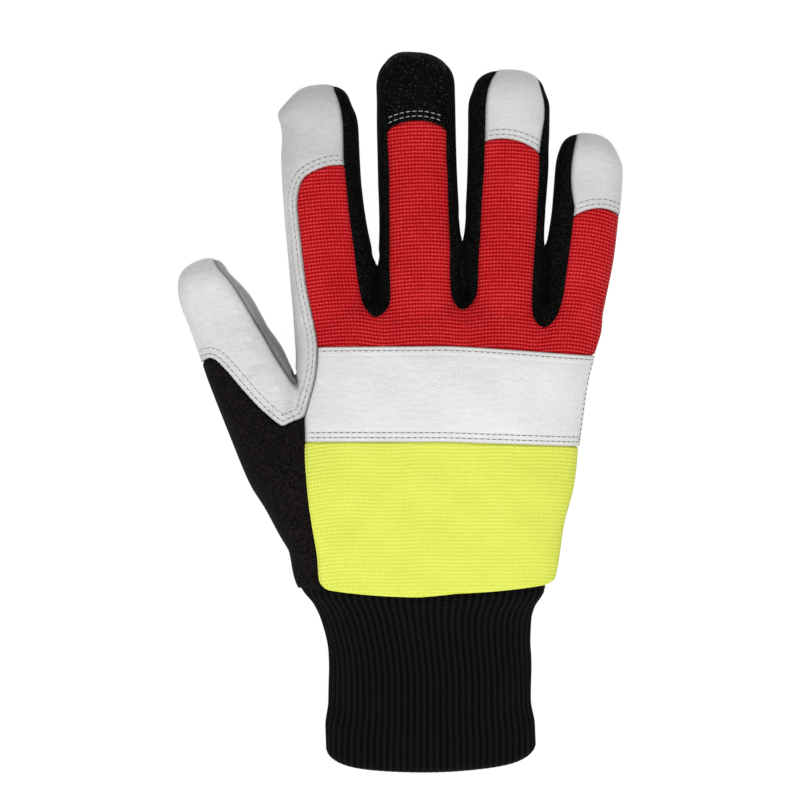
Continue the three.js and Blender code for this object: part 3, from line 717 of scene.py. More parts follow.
def split(data, tris, level):
    """Cuts the triangles that a level of the last column runs through, along that level."""
    value = data[:, -1] - level
    value[np.abs(value) < SNAP] = 0
    corner = value[tris]
    crossed = (corner > 0).any(1) & (corner < 0).any(1)
    if not crossed.any():
        return data, tris
    cut, corner = tris[crossed], corner[crossed]
    alone = np.where((corner > 0).sum(1) == 1, (corner > 0).argmax(1), (corner < 0).argmax(1))
    a, b, c = (cut[np.arange(len(cut)), (alone + k) % 3] for k in range(3))
    ends = np.sort(np.concatenate([np.column_stack([a, b]), np.column_stack([a, c])]), axis=1)
    _, first, back = np.unique(ends[:, 0] * len(data) + ends[:, 1], return_index=True, return_inverse=True)
    low, high = ends[first].T
    number = np.where(value[low] == 0, low, high)
    new = (value[low] != 0) & (value[high] != 0)
    number[new] = len(data) + np.arange(new.sum())
    share = (value[low] / np.where(new, value[low] - value[high], 1))[new, None]
    data = np.concatenate([data, data[low[new]] + share * (data[high[new]] - data[low[new]])])
    ab, ac = number[back[:len(a)]], number[back[len(a):]]
    across_c, across_b = (np.linalg.norm(data[m, :3] - data[n, :3], axis=1) for m, n in ((ab, c), (ac, b)))
    made = np.concatenate([
        np.column_stack([a, ab, ac]),
        np.column_stack([ab, b, np.where(across_c < across_b, c, ac)]),
        np.column_stack([np.where(across_c < across_b, ab, b), c, ac]),
    ])
    whole = (made[:, 0] != made[:, 1]) & (made[:, 1] != made[:, 2]) & (made[:, 2] != made[:, 0])
    return data, np.concatenate([tris[~crossed], made[whole]])


def cut_along(data, tris, values, levels, keep=False):
    """Cuts along some levels of a value of the points. With keep, only what is above them stays."""
    data = np.column_stack([data, values])
    for level in levels:
        if keep:
            tris = tris[(data[tris, -1] > level).any(1)]
        data, tris = split(data, tris, level)
        if keep:
            tris = tris[data[tris, -1].mean(1) > level]
    return data[:, :-1], tris


def tidied(data, tris):
    """Leaves out the points that no triangle uses, and the crumbs that hang on nothing."""
    group = np.arange(len(data))
    for _ in range(200):
        lowest = group[tris].min(1)
        before = group.copy()
        np.minimum.at(group, tris.ravel(), np.repeat(lowest, 3))
        group = group[group]
        if (before == group).all():
            break
    names, counts = np.unique(group[tris[:, 0]], return_counts=True)
    tris = tris[np.isin(group[tris[:, 0]], names[counts > CRUMB])]
    used, tris = np.unique(tris, return_inverse=True)
    return data[used], tris.reshape(-1, 3)


# %% Walls
def walled(outer, inner, tris, base_tris):
    """Closes a cut piece: its outside, the first points of it again as the inside, and a rim."""
    count, base = len(outer), len(inner)
    edges = edges_of(tris)
    rim = edges[~np.isin(edges @ (count, 1), edges @ (1, count))].tolist()
    before = {v: u for u, v in rim}
    faces = []
    for u, v in rim:
        anchor = u
        while anchor >= base and anchor in before:
            anchor = before[anchor]
        if anchor >= base:
            continue
        faces.append((v, u, count + anchor))
        if v < base and v != anchor:
            faces.append((v, count + anchor, count + v))
    points = np.concatenate([outer, inner])
    return points, np.concatenate([tris, base_tris[:, ::-1] + count, np.array(faces).reshape(-1, 3)])


# %% Making the Blender object
def make_piece(name, points, tris, finish, replaced=None, places=None, sharp=70):
    """A closed mesh in millimetres becomes a piece that rides on the glove."""
    mesh = bpy.data.meshes.new(name)
    mesh.from_pydata((points * MM).tolist(), [], tris.tolist())
    if places is not None:
        carried = mesh.attributes.new("fabric", "FLOAT_VECTOR", "POINT")
        carried.data.foreach_set("vector", np.ascontiguousarray(places, np.float32).ravel())
    mesh.materials.append(finish)
    mesh.shade_smooth()
    mesh.set_sharp_from_angle(angle=math.radians(sharp))
    mesh.update()
    piece = added(name, mesh)
    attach(piece, "root")
    if replaced:
        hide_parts(replaced)
    print(f"{name}: {len(tris)} triangles, box {points.min(0).round(1)} to {points.max(0).round(1)}")


# %% [markdown]
# ## The soft lie of an empty glove
# No hand is in the glove, so its back sinks and swells a little. Long, low waves are added to the
# whole form. Folds are single soft ridges, drawn from one plan point to another.


# %% Waves and folds
def waves(points, normals):
    """Long, low waves of the skin, in mm. They fade out on its sides, to keep the outline."""
    x, y, z = points.T
    return smooth_step(normals[:, 2]) * (
        0.30 * np.sin(x / 8.3 + 1.1 * np.sin(y / 19.0) + z / 7.0)
        + 0.28 * np.sin(y / 9.7 + 0.9 * np.sin(x / 14.0 + 2.0))
        + 0.16 * np.sin((x + 1.7 * y) / 6.1 + z / 5.0 + 0.7)
    )


def hill(distance, width):
    """1 where the distance is 0, and softly down to nothing about two widths away."""
    return np.exp(-((distance / width) ** 2))


RUN_OUT = 0.3  # the share of a fold in which each end runs out


def fold(points, start, end, width, height):
    """One soft ridge of that width and height along a line in the plan. Its ends run out."""
    start, end = np.array(start, float), np.array(end, float)
    way = end - start
    length = np.linalg.norm(way)
    at = points[:, :2] - start
    along = at @ way / length**2
    side = (at[:, 0] * way[1] - at[:, 1] * way[0]) / length
    return height * smooth_step(along / RUN_OUT) * smooth_step((1 - along) / RUN_OUT) * hill(side, width)


def folds(points, *lines):
    """Several folds. A line is its start, end, width and height."""
    return sum(fold(points, *line) for line in lines)


def bulge(points, centre, radius, height):
    """One soft bulge, or a hollow where the height is negative."""
    return height * hill(np.linalg.norm(points[:, :2] - np.array(centre), axis=1), radius)


# %% Narrow gaps and fingertips
GAP_SLACK = 0.15  # between the two walls where a gap closes
GAP_BELOW, GAP_ABOVE = 3, 40  # how far a gap is followed below where it opens, and above
WALL_REACH, WALL_FADE = 2.6, 1.4  # how far from a wall the skin moves with it, and over what it fades


def closing(points, normals, level):
    """How far the walls of the gaps move towards each other, to where the cloth really meets."""
    lift = np.zeros(len(points))
    for number, (start, *_) in enumerate(GAPS):
        along = np.linspace(start - GAP_BELOW, start + GAP_ABOVE, 80)
        middles = np.array([gap_middle(number, a)[0] for a in along])
        wanted = gap_width(number, along) / 2
        form = np.maximum(MELT_GAP / 2, wanted)
        moved = (form - wanted) * smooth_step((along - start + GAP_BELOW) / 2)
        x, half, reach = (np.interp(points[:, 1], middles[:, 1], v) for v in (middles[:, 0], form, moved))
        side = points[:, 0] - x
        facing = np.clip(-np.sign(side) * normals[:, 0], 0, 1) ** 2 + np.clip(normals[:, 1], 0, 1) ** 2
        near = smooth_step((half + WALL_REACH - np.abs(side)) / WALL_FADE)
        inside_row = (points[:, 1] > middles[0, 1]) & (points[:, 1] < middles[-1, 1])
        lift += np.maximum(0, reach - level - GAP_SLACK) * facing * near * inside_row
    return lift


# x, y, radius, height: where the sides of the glove are set out, or in where it is negative
SET_SIDES = np.array([
    (-57.6, 123.2, 2.8, 1.1), (-54.6, 129.6, 4.5, -0.8), (-57.4, 114.5, 6.0, -0.7),
    (-29.3, 128.0, 5.5, -1.7), (-12.5, 147.0, 4.5, 0.7), (4.5, 144.0, 6.0, -0.6),
    (16.4, 132.6, 4.0, -0.9), (46.6, 132.6, 4.0, -1.0), (51.3, 109.2, 4.0, -0.7), (74.2, 110.2, 6.5, -1.6),
    (-76.7, 63.2, 6.0, -2.4), (-71.0, 54.0, 6.0, -0.7), (-64.5, 44.0, 10.0, -1.2), (-98.6, 55.4, 6.0, -1.0),
    (68.5, 42.9, 8.0, 0.6), (64.2, 21.4, 10.0, -0.7), (-65.0, -30.4, 10.0, -0.6), (54.0, -37.0, 10.0, -0.8),
    (-52.4, -57.7, 6.0, 1.0), (48.5, -60.0, 7.0, 0.9),
])
CROTCH = (-51.5, 23.3), 3.2, -5.8  # place, radius and height of the hollow in the thumb's crotch


def lie(points, normals, level):
    """All that moves the skin of every piece: waves, closed gaps, set sides, a deeper crotch."""
    sides = sum(bulge(points, (x, y), radius, height) for x, y, radius, height in SET_SIDES)
    crotch = bulge(points, *CROTCH) * np.clip(normals[:, 1], 0, 1) ** 4
    set_out = sides * (1 - normals[:, 2] ** 2)
    return waves(points, normals) + closing(points, normals, level) + set_out + crotch


# %% [markdown]
# ## One recipe for every piece of the hand
# Each piece names the seams that bound it. A seam is turned (both pieces dive into it), lapped
# (this piece lies on top and ends in a cut edge) or tucked (this piece runs on beneath another).
# The recipe cuts the piece out, adds rows of points beside its seams and moves them in or out.

# %% The recipe
COLUMNS = {name: 6 + k for k, name in enumerate(SEAM_NAMES)}
UP, ACROSS = 6 + len(SEAM_NAMES), 7 + len(SEAM_NAMES)
TUCK = 1.6  # how far a tucked edge runs beneath the piece over it
# distances from a seam where rows of points are added, so that its edge can turn
TURNED_ROWS, TUCKED_ROWS = (0.45, 1.0, 1.9), (0, 0.5, 1.0)
LAPPED_ROWS = (0.25, 0.6, 1.1, 1.6, 2.1, 3.0, 3.5, 4.0)
STITCH_ROWS = (1.6, 3.5)  # distance of the two rows of stitches from a lapped edge
RIB_POINTS = 4  # levels that are cut into each rib
SEAM_HOLLOW = 0.9  # half the width of the hollow at a turned seam
CUT_EDGE, STITCH_DENT = (0.28, 0.3), (0.13, 0.45)  # depth and width of what they take off
TUCK_DIVE = (0.85, 0.95)  # how deep a tucked edge dives, and over what distance
INSIDE_FLOOR = 0.25  # the inside never comes lower than this


def side_of(data, name):
    """The distance of a seam, where "-name" is its other side."""
    return -data[:, COLUMNS[name[1:]]] if name[0] == "-" else data[:, COLUMNS[name]]


def nearest(data, names):
    """Distance to the nearest of some seams."""
    if not names:
        return np.full(len(data), FAR_AWAY)
    return np.min([side_of(data, name) for name in names], axis=0)


def cut_piece(turned, lapped, tucked, rib_pitch):
    """Cuts a piece out. Returns its data, its triangles, and those of its plain inside."""
    data, tris = COARSE_TABLE if rib_pitch else FINE_TABLE
    for names, level in ((turned, 0), (lapped, 0), (tucked, -TUCK)):
        for name in names:
            data, tris = cut_along(data, tris, side_of(data, name), [level], keep=True)
    data, tris = tidied(data, tris)
    base_tris, base = tris, len(data)
    for names, levels in ((turned, TURNED_ROWS), (lapped, LAPPED_ROWS), (tucked, TUCKED_ROWS)):
        if names:
            data, tris = cut_along(data, tris, nearest(data, names), levels)
    if rib_pitch:
        up = data[:, UP]
        low, high = (math.ceil(RIB_POINTS * end / rib_pitch) for end in (up.min(), up.max()))
        levels = [step * rib_pitch / RIB_POINTS for step in range(low, high)]
        data, tris = cut_along(data, tris, up, levels)
    return data, tris, base_tris, base


def hand_piece(name, finish, level, wall, turned=(), lapped=(), tucked=(), rib_pitch=None,
               rib_height=0.0, rows=STITCH_ROWS, shape=None, dip=0.8):
    """Makes one piece of the hand. level is how far its outside lies off the form, dip how deep
    it dives at its turned seams, and shape gives its own creases."""
    data, tris, base_tris, base = cut_piece(turned, lapped, tucked, rib_pitch)
    points, normals = data[:, :3], data[:, 3:6]
    lift = level + lie(points, normals, level)
    upward = smooth_step(normals[:, 2] / 0.55)
    lift -= dip * mix(0.25, 1, upward) * hill(nearest(data, turned), SEAM_HOLLOW)
    edge = nearest(data, lapped)
    lift -= CUT_EDGE[0] * hill(edge, CUT_EDGE[1])
    for row in rows if lapped else ():
        lift -= STITCH_DENT[0] * hill(edge - row, STITCH_DENT[1])
    lift -= TUCK_DIVE[0] * smooth_step(1 - nearest(data, tucked) / TUCK_DIVE[1])
    if shape is not None:
        lift += shape(points)
    if rib_pitch:
        quiet = mix(0.3, 1, upward) * smooth_step(nearest(data, [*turned, *tucked]) / 0.8)
        lift += rib_height * quiet * np.cos(2 * np.pi * data[:, UP] / rib_pitch)
    outer = points + normals * lift[:, None]
    deep = np.minimum(lift[:base], level + lie(points[:base], normals[:base], level)) - wall
    inner = points[:base] + normals[:base] * deep[:, None]
    outer[:, 2], inner[:, 2] = np.maximum(outer[:, 2], 0), np.maximum(inner[:, 2], INSIDE_FLOOR)
    closed, faces = walled(outer, inner, tris, base_tris)
    # The third number is the distance from a turned seam or, a little further, from a cut edge. The leather
    # finish paints shade there.
    places = np.column_stack([data[:, ACROSS], data[:, UP], np.minimum(nearest(data, turned), edge + 0.25)])
    places = np.concatenate([places, places[:base]])
    make_piece(f"{name}_outside", closed, faces, finish, name, places)


# %% [markdown]
# ## Finishes
# Every finish is a small node tree in the object's own space, so that nothing slides or needs a
# picture. The helpers below add a node and plug in its inputs. Each finish starts from a
# principled shader and adds colour, roughness and bump on top.


# %% Helpers for node trees
def node(tree, kind, sockets=(), **settings):
    """Adds a node. A socket gets a value or a link from another node's output."""
    made = tree.nodes.new(f"ShaderNode{kind}")
    for key, value in settings.items():
        setattr(made, key, value)
    for key, value in dict(sockets).items():
        if isinstance(value, bpy.types.NodeSocket):
            tree.links.new(value, made.inputs[key])
        else:
            made.inputs[key].default_value = value
    return made


def maths(tree, operation, *values):
    return node(tree, "Math", dict(enumerate(values)), operation=operation).outputs[0]


def weighted(tree, *pairs):
    """The sum of some values, each times its weight."""
    total = 0.0
    for value, weight in pairs:
        total = maths(tree, "MULTIPLY_ADD", value, weight, total)
    return total


def wave(tree, operation, turn):
    """A sine or cosine between 0 and 1."""
    return maths(tree, "MULTIPLY_ADD", maths(tree, operation, turn), 0.5, 0.5)


def ranged(tree, value, start, end, low=0.0, high=1.0):
    """A value's way from start to end as a number from low to high."""
    sockets = {"Value": value, "From Min": start, "From Max": end, "To Min": low, "To Max": high}
    return node(tree, "MapRange", sockets).outputs[0]


def place_in(tree, stretch=(1, 1, 1)):
    """Where a point is on the glove."""
    where = node(tree, "TexCoord").outputs["Object"]
    return node(tree, "Mapping", {"Vector": where, "Scale": stretch}).outputs[0]


def noise(tree, size, detail=3.0, stretch=(1, 1, 1)):
    """Soft noise whose blots are about size mm wide."""
    sockets = {"Vector": place_in(tree, stretch), "Scale": 1000 / size, "Detail": detail}
    return node(tree, "TexNoise", sockets).outputs["Fac"]


def cells(tree, size, feature="F1", scatter=1.0, stretch=(1, 1, 1)):
    """Distances in a pattern of cells about size mm wide. Scatter 0 would be a square grid."""
    sockets = {"Vector": place_in(tree, stretch), "Scale": 1000 / size, "Randomness": scatter}
    return node(tree, "TexVoronoi", sockets, feature=feature).outputs["Distance"]


def carried_numbers(tree):
    """The three numbers of each point: across the fabric, up it, and the distance from a seam."""
    carried = node(tree, "Attribute", attribute_name="fabric").outputs["Vector"]
    return node(tree, "SeparateXYZ", {"Vector": carried}).outputs


def ramp(tree, share, *stops):
    """Colours along a share from 0 to 1. A stop is its place and its colour, or a shade of grey."""
    made = node(tree, "ValToRGB", {"Fac": share})
    while len(made.color_ramp.elements) < len(stops):
        made.color_ramp.elements.new(0.5)
    for element, (place, colour) in zip(made.color_ramp.elements, stops):
        element.position = place
        element.color = (*colour, 1) if isinstance(colour, tuple) else (colour, colour, colour, 1)
    return made.outputs["Color"]


def bump(tree, height, depth, strength=1.0, under=None):
    """Relief of that depth in mm."""
    sockets = {"Height": height, "Distance": depth * MM, "Strength": strength}
    if under is not None:
        sockets["Normal"] = under
    return node(tree, "Bump", sockets).outputs["Normal"]


def finished(material, colour, relief=None, roughness=None):
    """Plugs colour, relief and roughness into a finish."""
    tree = material.node_tree
    for key, socket in (("Base Color", colour), ("Normal", relief), ("Roughness", roughness)):
        if socket is not None:
            tree.links.new(socket, tree.nodes["Principled BSDF"].inputs[key])
    return material


# %% [markdown]
# ## Pale leather
# Smooth goatskin with a fine, tight grain: tiny cells, a little mottling from place to place, and
# faint creases. The leather is matt with a soft gloss. The palm side is the same skin, a shade
# greyer. It is one function with a colour, so that both skins keep the same grain. The third
# number that a point carries is its distance from a seam, and shade is painted there, darkest in
# the seam itself. Painted shade also darkens the index fingertip towards its end, and the hollow
# between the thumb and its root.

# %% Leather finishes
# The index fingertip is painted darker towards its end: painted shade where the tip slopes away from the
# light.
PAINTED_TIP_SHADE_LENGTH = 22  # the fingertip's shade comes up over this, in mm
# Painted shade in the thumb's hollow: it darkens the leather above these heights, more towards the crotch.
PAINTED_HOLLOW_HEIGHT = (4, 10)  # the hollow is dark above these heights
PAINTED_HOLLOW_SHADE = (0.26, 0.57)  # how dark it is where it starts and where it ends


def leather(name, light, dark, rough=0.5, painted_tip_shade_from=None, painted_hollow_shade=None):
    """The first of the last two arguments is how far up a fingertip's painted shade starts, and the
    second where the painted shade in the thumb's hollow starts and ends."""
    material, tree = new_finish(name, rough, sheen=0.08, specular=0.35)
    mottle = weighted(tree, (noise(tree, 14, 4), 0.6), (noise(tree, 1.6, 3), 0.4))
    place = node(tree, "SeparateXYZ", {"Vector": place_in(tree)}).outputs
    # Near a seam or a cut edge the leather is painted darker: painted shade in the seam's groove and under
    # the edge.
    seam = (0.0, (0.2, 0.19, 0.18)), (0.3, (0.62, 0.61, 0.6)), (0.9, 1)
    shades = [ramp(tree, carried_numbers(tree)["Z"], *seam)]
    # painted shade in the thumb's hollow, darker towards the crotch and only on the upper side
    if painted_hollow_shade:
        start, end = (edge * MM for edge in painted_hollow_shade)
        low, high = (edge * MM for edge in PAINTED_HOLLOW_HEIGHT)
        depth = ranged(tree, place["Y"], start, end, *PAINTED_HOLLOW_SHADE)
        depth = maths(tree, "MULTIPLY", depth, ranged(tree, place["Z"], low, high))
        shades.append(ramp(tree, depth, (0, 1), (1, 0)))
    # painted shade on the fingertip, growing towards its end
    if painted_tip_shade_from:
        tip = ranged(tree, place["Y"], painted_tip_shade_from * MM, (painted_tip_shade_from + PAINTED_TIP_SHADE_LENGTH) * MM)
        shades.append(ramp(tree, tip, (0, 1), (1, 0.8)))
    grain = ranged(tree, cells(tree, 0.85, "DISTANCE_TO_EDGE"), 0.0, 0.22)
    shades.append(ramp(tree, grain, (0.0, 0.92), (0.8, 1)))
    colour = ramp(tree, mottle, (0.36, dark), (0.62, light))
    for shade in shades:
        sockets = {6: colour, 7: shade, 0: 1.0}
        colour = node(tree, "Mix", sockets, data_type="RGBA", blend_type="MULTIPLY").outputs[2]
    creases = bump(tree, noise(tree, 5.0, 5, (1, 2.6, 1)), 0.5, 0.65)
    rub = ranged(tree, noise(tree, 7, 3), 0, 1, rough - 0.07, rough + 0.09)
    return finished(material, colour, bump(tree, grain, 0.09, 0.6, creases), rub)


white_goatskin = leather("white_goatskin", (0.775, 0.775, 0.77), (0.72, 0.72, 0.71))
# The saddle's index fingertip gets painted shade towards its end.
saddle_goatskin = leather("saddle_goatskin", (0.72, 0.72, 0.715), (0.63, 0.63, 0.62), painted_tip_shade_from=86)
# The caps are the band's pale leather, painted darker: painted shade on the fingertips, which slope away from
# the light.
cap_goatskin_painted_darker = leather("cap_goatskin_painted_darker", (0.655, 0.655, 0.65), (0.60, 0.60, 0.59))
palm_goatskin = leather("palm_goatskin", (0.55, 0.55, 0.535), (0.43, 0.43, 0.415))
# The thumb's inner leather is painted darker towards the crotch: painted shade.
thumb_goatskin = leather("thumb_goatskin", (0.55, 0.55, 0.535), (0.43, 0.43, 0.415), painted_hollow_shade=(58, 40))
print("leather finishes:", white_goatskin.name, palm_goatskin.name)

# %% [markdown]
# ## Palm, thumb and leather saddle
# The palm side is two pieces: the palm with the undersides of the fingers, and the inner face of
# the thumb, which also shows from above beside the thumb's seam. The saddle is one piece of leather
# over the back of the thumb, its crotch, the side of the index finger and its tip. It is lapped
# over everything beside it, with two rows of stitches, and its crotch is creased by the thumb.


# %% Palm leather
def palm_creases(points):
    creases = folds(
        points, ((-42, -20), (30, 26), 3.0, -0.5), ((-30, -48), (20, -20), 3.2, -0.45),
        ((-20, 24), (52, 30), 2.6, -0.4),
    )
    return creases * (points[:, 2] < 4) + bulge(points, (47.2, -60.6), 3.5, -1.8)


hand_piece(
    "palm_leather", palm_goatskin, 0.35, 1.3,
    turned=("low", "-thumb_palm", "hand"), shape=palm_creases,
)


# %% Thumb palm leather
def folds_from(centre, points, *lines):
    """Folds whose ends are given from a centre."""
    return folds(points, *((centre + start, centre + end, *size) for start, end, *size in lines))


def thumb_creases(points):
    return folds_from(
        thumb_point(0.44, 1.05), points,
        ((-7, 13), (-1, 1), 0.8, 0.45), ((-3, 13), (1.5, 2), 0.7, -0.6), ((-9, 9), (-3, -1), 0.9, -0.5),
        ((-10, 22), (-3, 9), 0.9, -0.4), ((-14, 24), (-7, 12), 1.0, 0.35), ((-4, 7), (2, -3), 0.6, 0.4),
    )


hand_piece(
    "thumb_palm_leather", thumb_goatskin, 0.35, 1.3,
    turned=("thumb_palm",), shape=thumb_creases, dip=1.3,
)


# %% Saddle leather
def saddle_creases(points):
    return folds_from(
        thumb_point(0.46, 1.02), points,
        ((-6, -2), (-8, -16), 1.3, -0.45), ((-3, -3), (-3, -17), 1.2, 0.35),
        ((0.5, -4), (1.5, -16), 1.2, -0.4), ((4, -3), (5, -12), 1.1, 0.3), ((-10, 2), (-20, -2), 1.6, 0.3),
        ((-8, 6), (-18, 5), 1.3, -0.3), ((-12, 12), (-21, 10), 0.9, 0.25), ((-13, 15), (-23, 14), 0.9, -0.25),
        ((-15, 19), (-24, 17), 0.9, 0.22), ((-4, -6), (-10, -13), 0.9, -0.35),
        ((-1, -8), (-4, -20), 0.8, 0.3),
    )


hand_piece(
    "index_thumb_leather", saddle_goatskin, 0.5, 1.1,
    turned=("-low", "-thumb_palm", "-strip_0"), lapped=("saddle",), shape=saddle_creases,
    rows=(1.4, 3.4), dip=1.1,
)

# %% [markdown]
# ## Knuckle band and fingertip caps
# The band across the knuckles is the same pale leather, lapped over the red fabric above it and the
# yellow below, and tucked under the saddle. The ring and little fingers have pale caps. The middle
# finger's cap is a black grip leather with a pebbled face, glossier on its pips.

# %% Band and pale caps
hand_piece(
    "knuckle_band", white_goatskin, 0.5, 1.1,
    turned=("-low", "-suede"), lapped=("below_red", "-below_band"), tucked=("-saddle",),
)
hand_piece(
    "ring_tip", cap_goatskin_painted_darker, 0.45, 1.1,
    turned=("-low", "-strip_1", "-strip_2"), lapped=("ring_cap",),
)
hand_piece(
    "little_tip", cap_goatskin_painted_darker, 0.45, 1.1,
    turned=("-low", "-strip_2"), lapped=("little_cap",),
)

# %% Black grip leather and the middle cap
# The pits between the pips are painted darker than the pips: painted shade in the pits.
BLACK_PIT_SHADE, BLACK_PIP = (0.0012, 0.0012, 0.0013), (0.025, 0.025, 0.025)

grip_leather, tree = new_finish("black_grip", 0.6, specular=0.05)
pips = ranged(tree, cells(tree, 1.15, "SMOOTH_F1", 0.8, (1, 1, 0.02)), 0.08, 0.38, 1.0, 0.0)
colour = ramp(tree, pips, (0.2, BLACK_PIT_SHADE), (0.9, BLACK_PIP))
relief = bump(tree, pips, 0.3, 0.9, bump(tree, noise(tree, 0.5), 0.05, 0.4))
finished(grip_leather, colour, relief, ranged(tree, pips, 0, 1, 0.75, 0.5))
hand_piece(
    "middle_tip", grip_leather, 0.3, 1.2,
    turned=("-low", "-strip_0", "-strip_1"), lapped=("middle_cap",), dip=0.3,
)

# %% [markdown]
# ## Black fleece and black suede
# The strips between the fingers are a brushed black stretch cloth, with a short dull nap. The
# gusset at the thumb is suede, a shade browner and rougher. Both are nearly without gloss: a fine
# noise makes the nap, and sheen lifts its edges the way short fibres do.


# %% Nap finishes
def nap(name, light, dark, size, depth, sheen, start):
    """start is how much of the noise stays dark."""
    material, tree = new_finish(name, 0.95, sheen=sheen, specular=0.05)
    fibres = weighted(tree, (noise(tree, size, 4), 0.6), (noise(tree, size * 2.4, 3), 0.4))
    colour = ramp(tree, fibres, (start, dark), (start + 0.27, light))
    return finished(material, colour, bump(tree, fibres, depth, 0.8))


fleece = nap("black_fleece", (0.0185, 0.0188, 0.0175), (0.0003, 0.0003, 0.0003), 0.42, 0.3, 0.003, 0.46)
suede = nap("black_suede", (0.0190, 0.0158, 0.0145), (0.0012, 0.0010, 0.0010), 0.42, 0.3, 0.009, 0.41)


# %% Strips between the fingers
def strip_shape(number):
    """A deep crease from where two fingers part down to the strip's foot, where it forks."""
    tip = gap_middle(number, GAPS[number][0])[0]
    foot = strip_foot(FINGERS[number]) + (0, 3.0)
    fork = mix(foot, tip, 0.28)
    return lambda points: folds(
        points,
        (foot, tip + (tip - foot) * 0.45, 0.85, -1.5),
        (fork, foot + (-3.4, 0.5), 0.7, -0.6), (fork, foot + (3.0, 0.2), 0.7, -0.6),
        (foot + (-2.2, 4), tip + (-2.4, -2), 1.6, 0.25), (foot + (2.4, 5), tip + (2.4, -2), 1.6, 0.2),
    )


for number, pair in enumerate(("index_middle", "middle_ring", "ring_little")):
    hand_piece(
        f"{pair}_fourchette", fleece, 0.2, 1.3,
        turned=(f"strip_{number}", "-low"), dip=0.4, shape=strip_shape(number),
    )


# %% Suede gusset
def gusset_swell(points):
    return folds(points, ((-62, -4), (-46, -30), 6.0, 0.5), ((-50, -18), (-44, -58), 5.0, -0.4))


hand_piece(
    "thumb_gusset", suede, 0.2, 1.3,
    turned=("suede", "-low", "hand"), tucked=("-saddle",), shape=gusset_swell,
)

# %% [markdown]
# ## Ribbed stretch fabric
# Both fabrics are the same knit in two colours. Its ribs stand up in the mesh itself, cut in at
# four levels to a rib, so that they show at the edges and in any light. The finish paints shade
# into the furrows between the ribs and a painted highlight on their crests, and puts a slanting
# stitch along each rib, from the two numbers that every point carries.

# %% Rib finish
RED_PITCH, YELLOW_PITCH = 1.42, 1.47
STITCH_WIDTH = 1.27


def ribbed(name, crest_highlight, flank, furrow_shade, pitch, contrast):
    """contrast is how much the stitches show on a rib, from 0 to 1."""
    material, tree = new_finish(name, 0.9, sheen=0.01, specular=0.08)
    across, up, _ = carried_numbers(tree)
    turn = maths(tree, "MULTIPLY", up, 2 * math.pi / pitch)
    height = wave(tree, "COSINE", turn)
    wander = noise(tree, 2.2, 2)
    sway = maths(tree, "SINE", turn)
    slant = weighted(tree, (across, 2 * math.pi / STITCH_WIDTH), (sway, 1.0), (wander, 5.0))
    weave = maths(tree, "MULTIPLY", wave(tree, "SINE", slant), height)
    yarn = noise(tree, 0.35, 3)
    specks = (yarn, 0.55), (noise(tree, 0.9, 2), 0.5), (noise(tree, 16, 2), 0.35)
    level = -0.5 * sum(share for _, share in specks)
    face = weighted(tree, (height, 1 - contrast), (weave, contrast), *specks, (1.0, level))
    # Each rib is painted darker in its furrow, a painted shade, and lighter on its crest, a painted
    # highlight.
    colour = ramp(tree, face, (0.02, furrow_shade), (0.5, flank), (0.95, crest_highlight))
    return finished(material, colour, bump(tree, yarn, 0.06, 0.5, bump(tree, weave, 0.18, 0.7)))


red_ribs = ribbed(
    "red_ribs", (0.82, 0.075, 0.082), (0.54, 0.0100, 0.0145), (0.31, 0.002, 0.004), RED_PITCH, 0.6
)
yellow_ribs = ribbed(
    "yellow_ribs", (0.80, 0.855, 0.20), (0.735, 0.79, 0.13), (0.64, 0.695, 0.078), YELLOW_PITCH, 0.8
)
print("ribs per cm:", round(10 / RED_PITCH, 1), round(10 / YELLOW_PITCH, 1))


# %% Red back
def red_corner(points):
    """The red fabric dives where the saddle and the band both cover it."""
    return bulge(points, (-43.8, 30.6), 2.4, -1.1)


hand_piece(
    "red_back", red_ribs, -0.05, 1.2,
    turned=("-strip_0", "-strip_1", "-strip_2", "-low"),
    tucked=("-below_red", "-saddle", "-middle_cap", "-ring_cap", "-little_cap"),
    rib_pitch=RED_PITCH, rib_height=0.11, shape=red_corner, dip=0.55,
)


# %% Yellow back
def yellow_folds(points):
    return folds(
        points, ((-38, -52), (-6, -12), 4.5, 0.55), ((-20, -62), (12, -20), 5.0, -0.5),
        ((4, -62), (30, -30), 4.5, 0.45), ((44, -54), (22, -16), 4.5, 0.4),
        ((34, -64), (10, -44), 4.0, -0.35),
    )


hand_piece(
    "yellow_back", yellow_ribs, -0.05, 1.2,
    turned=("-suede", "-low", "yellow_hem"), tucked=("below_band",),
    rib_pitch=YELLOW_PITCH, rib_height=0.06, shape=yellow_folds, dip=0.55,
)

# %% [markdown]
# ## Knitted cuff
# The cuff is a thick 1x1 rib knit, doubled over at the hem. It is one tube of 72 ribs, modelled rib
# by rib: rings of points with eight to a rib run down the outside, round the hem and back up the
# inside. Where it is sewn to the glove it is gathered, so the ribs crowd together and pucker.

# %% Knit finish
STITCH_HEIGHT = 0.98  # of the cuff's knit, in mm

knit_yarn, tree = new_finish("black_knit", 0.9, sheen=0.01, specular=0.06)
across, up, _ = carried_numbers(tree)
lean = maths(tree, "ABSOLUTE", maths(tree, "SINE", maths(tree, "MULTIPLY", across, math.pi)))
leg = wave(tree, "SINE", weighted(tree, (up, 2 * math.pi / STITCH_HEIGHT), (lean, 2.6), (1.0, 0.5)))
yarn = noise(tree, 0.55, 3)
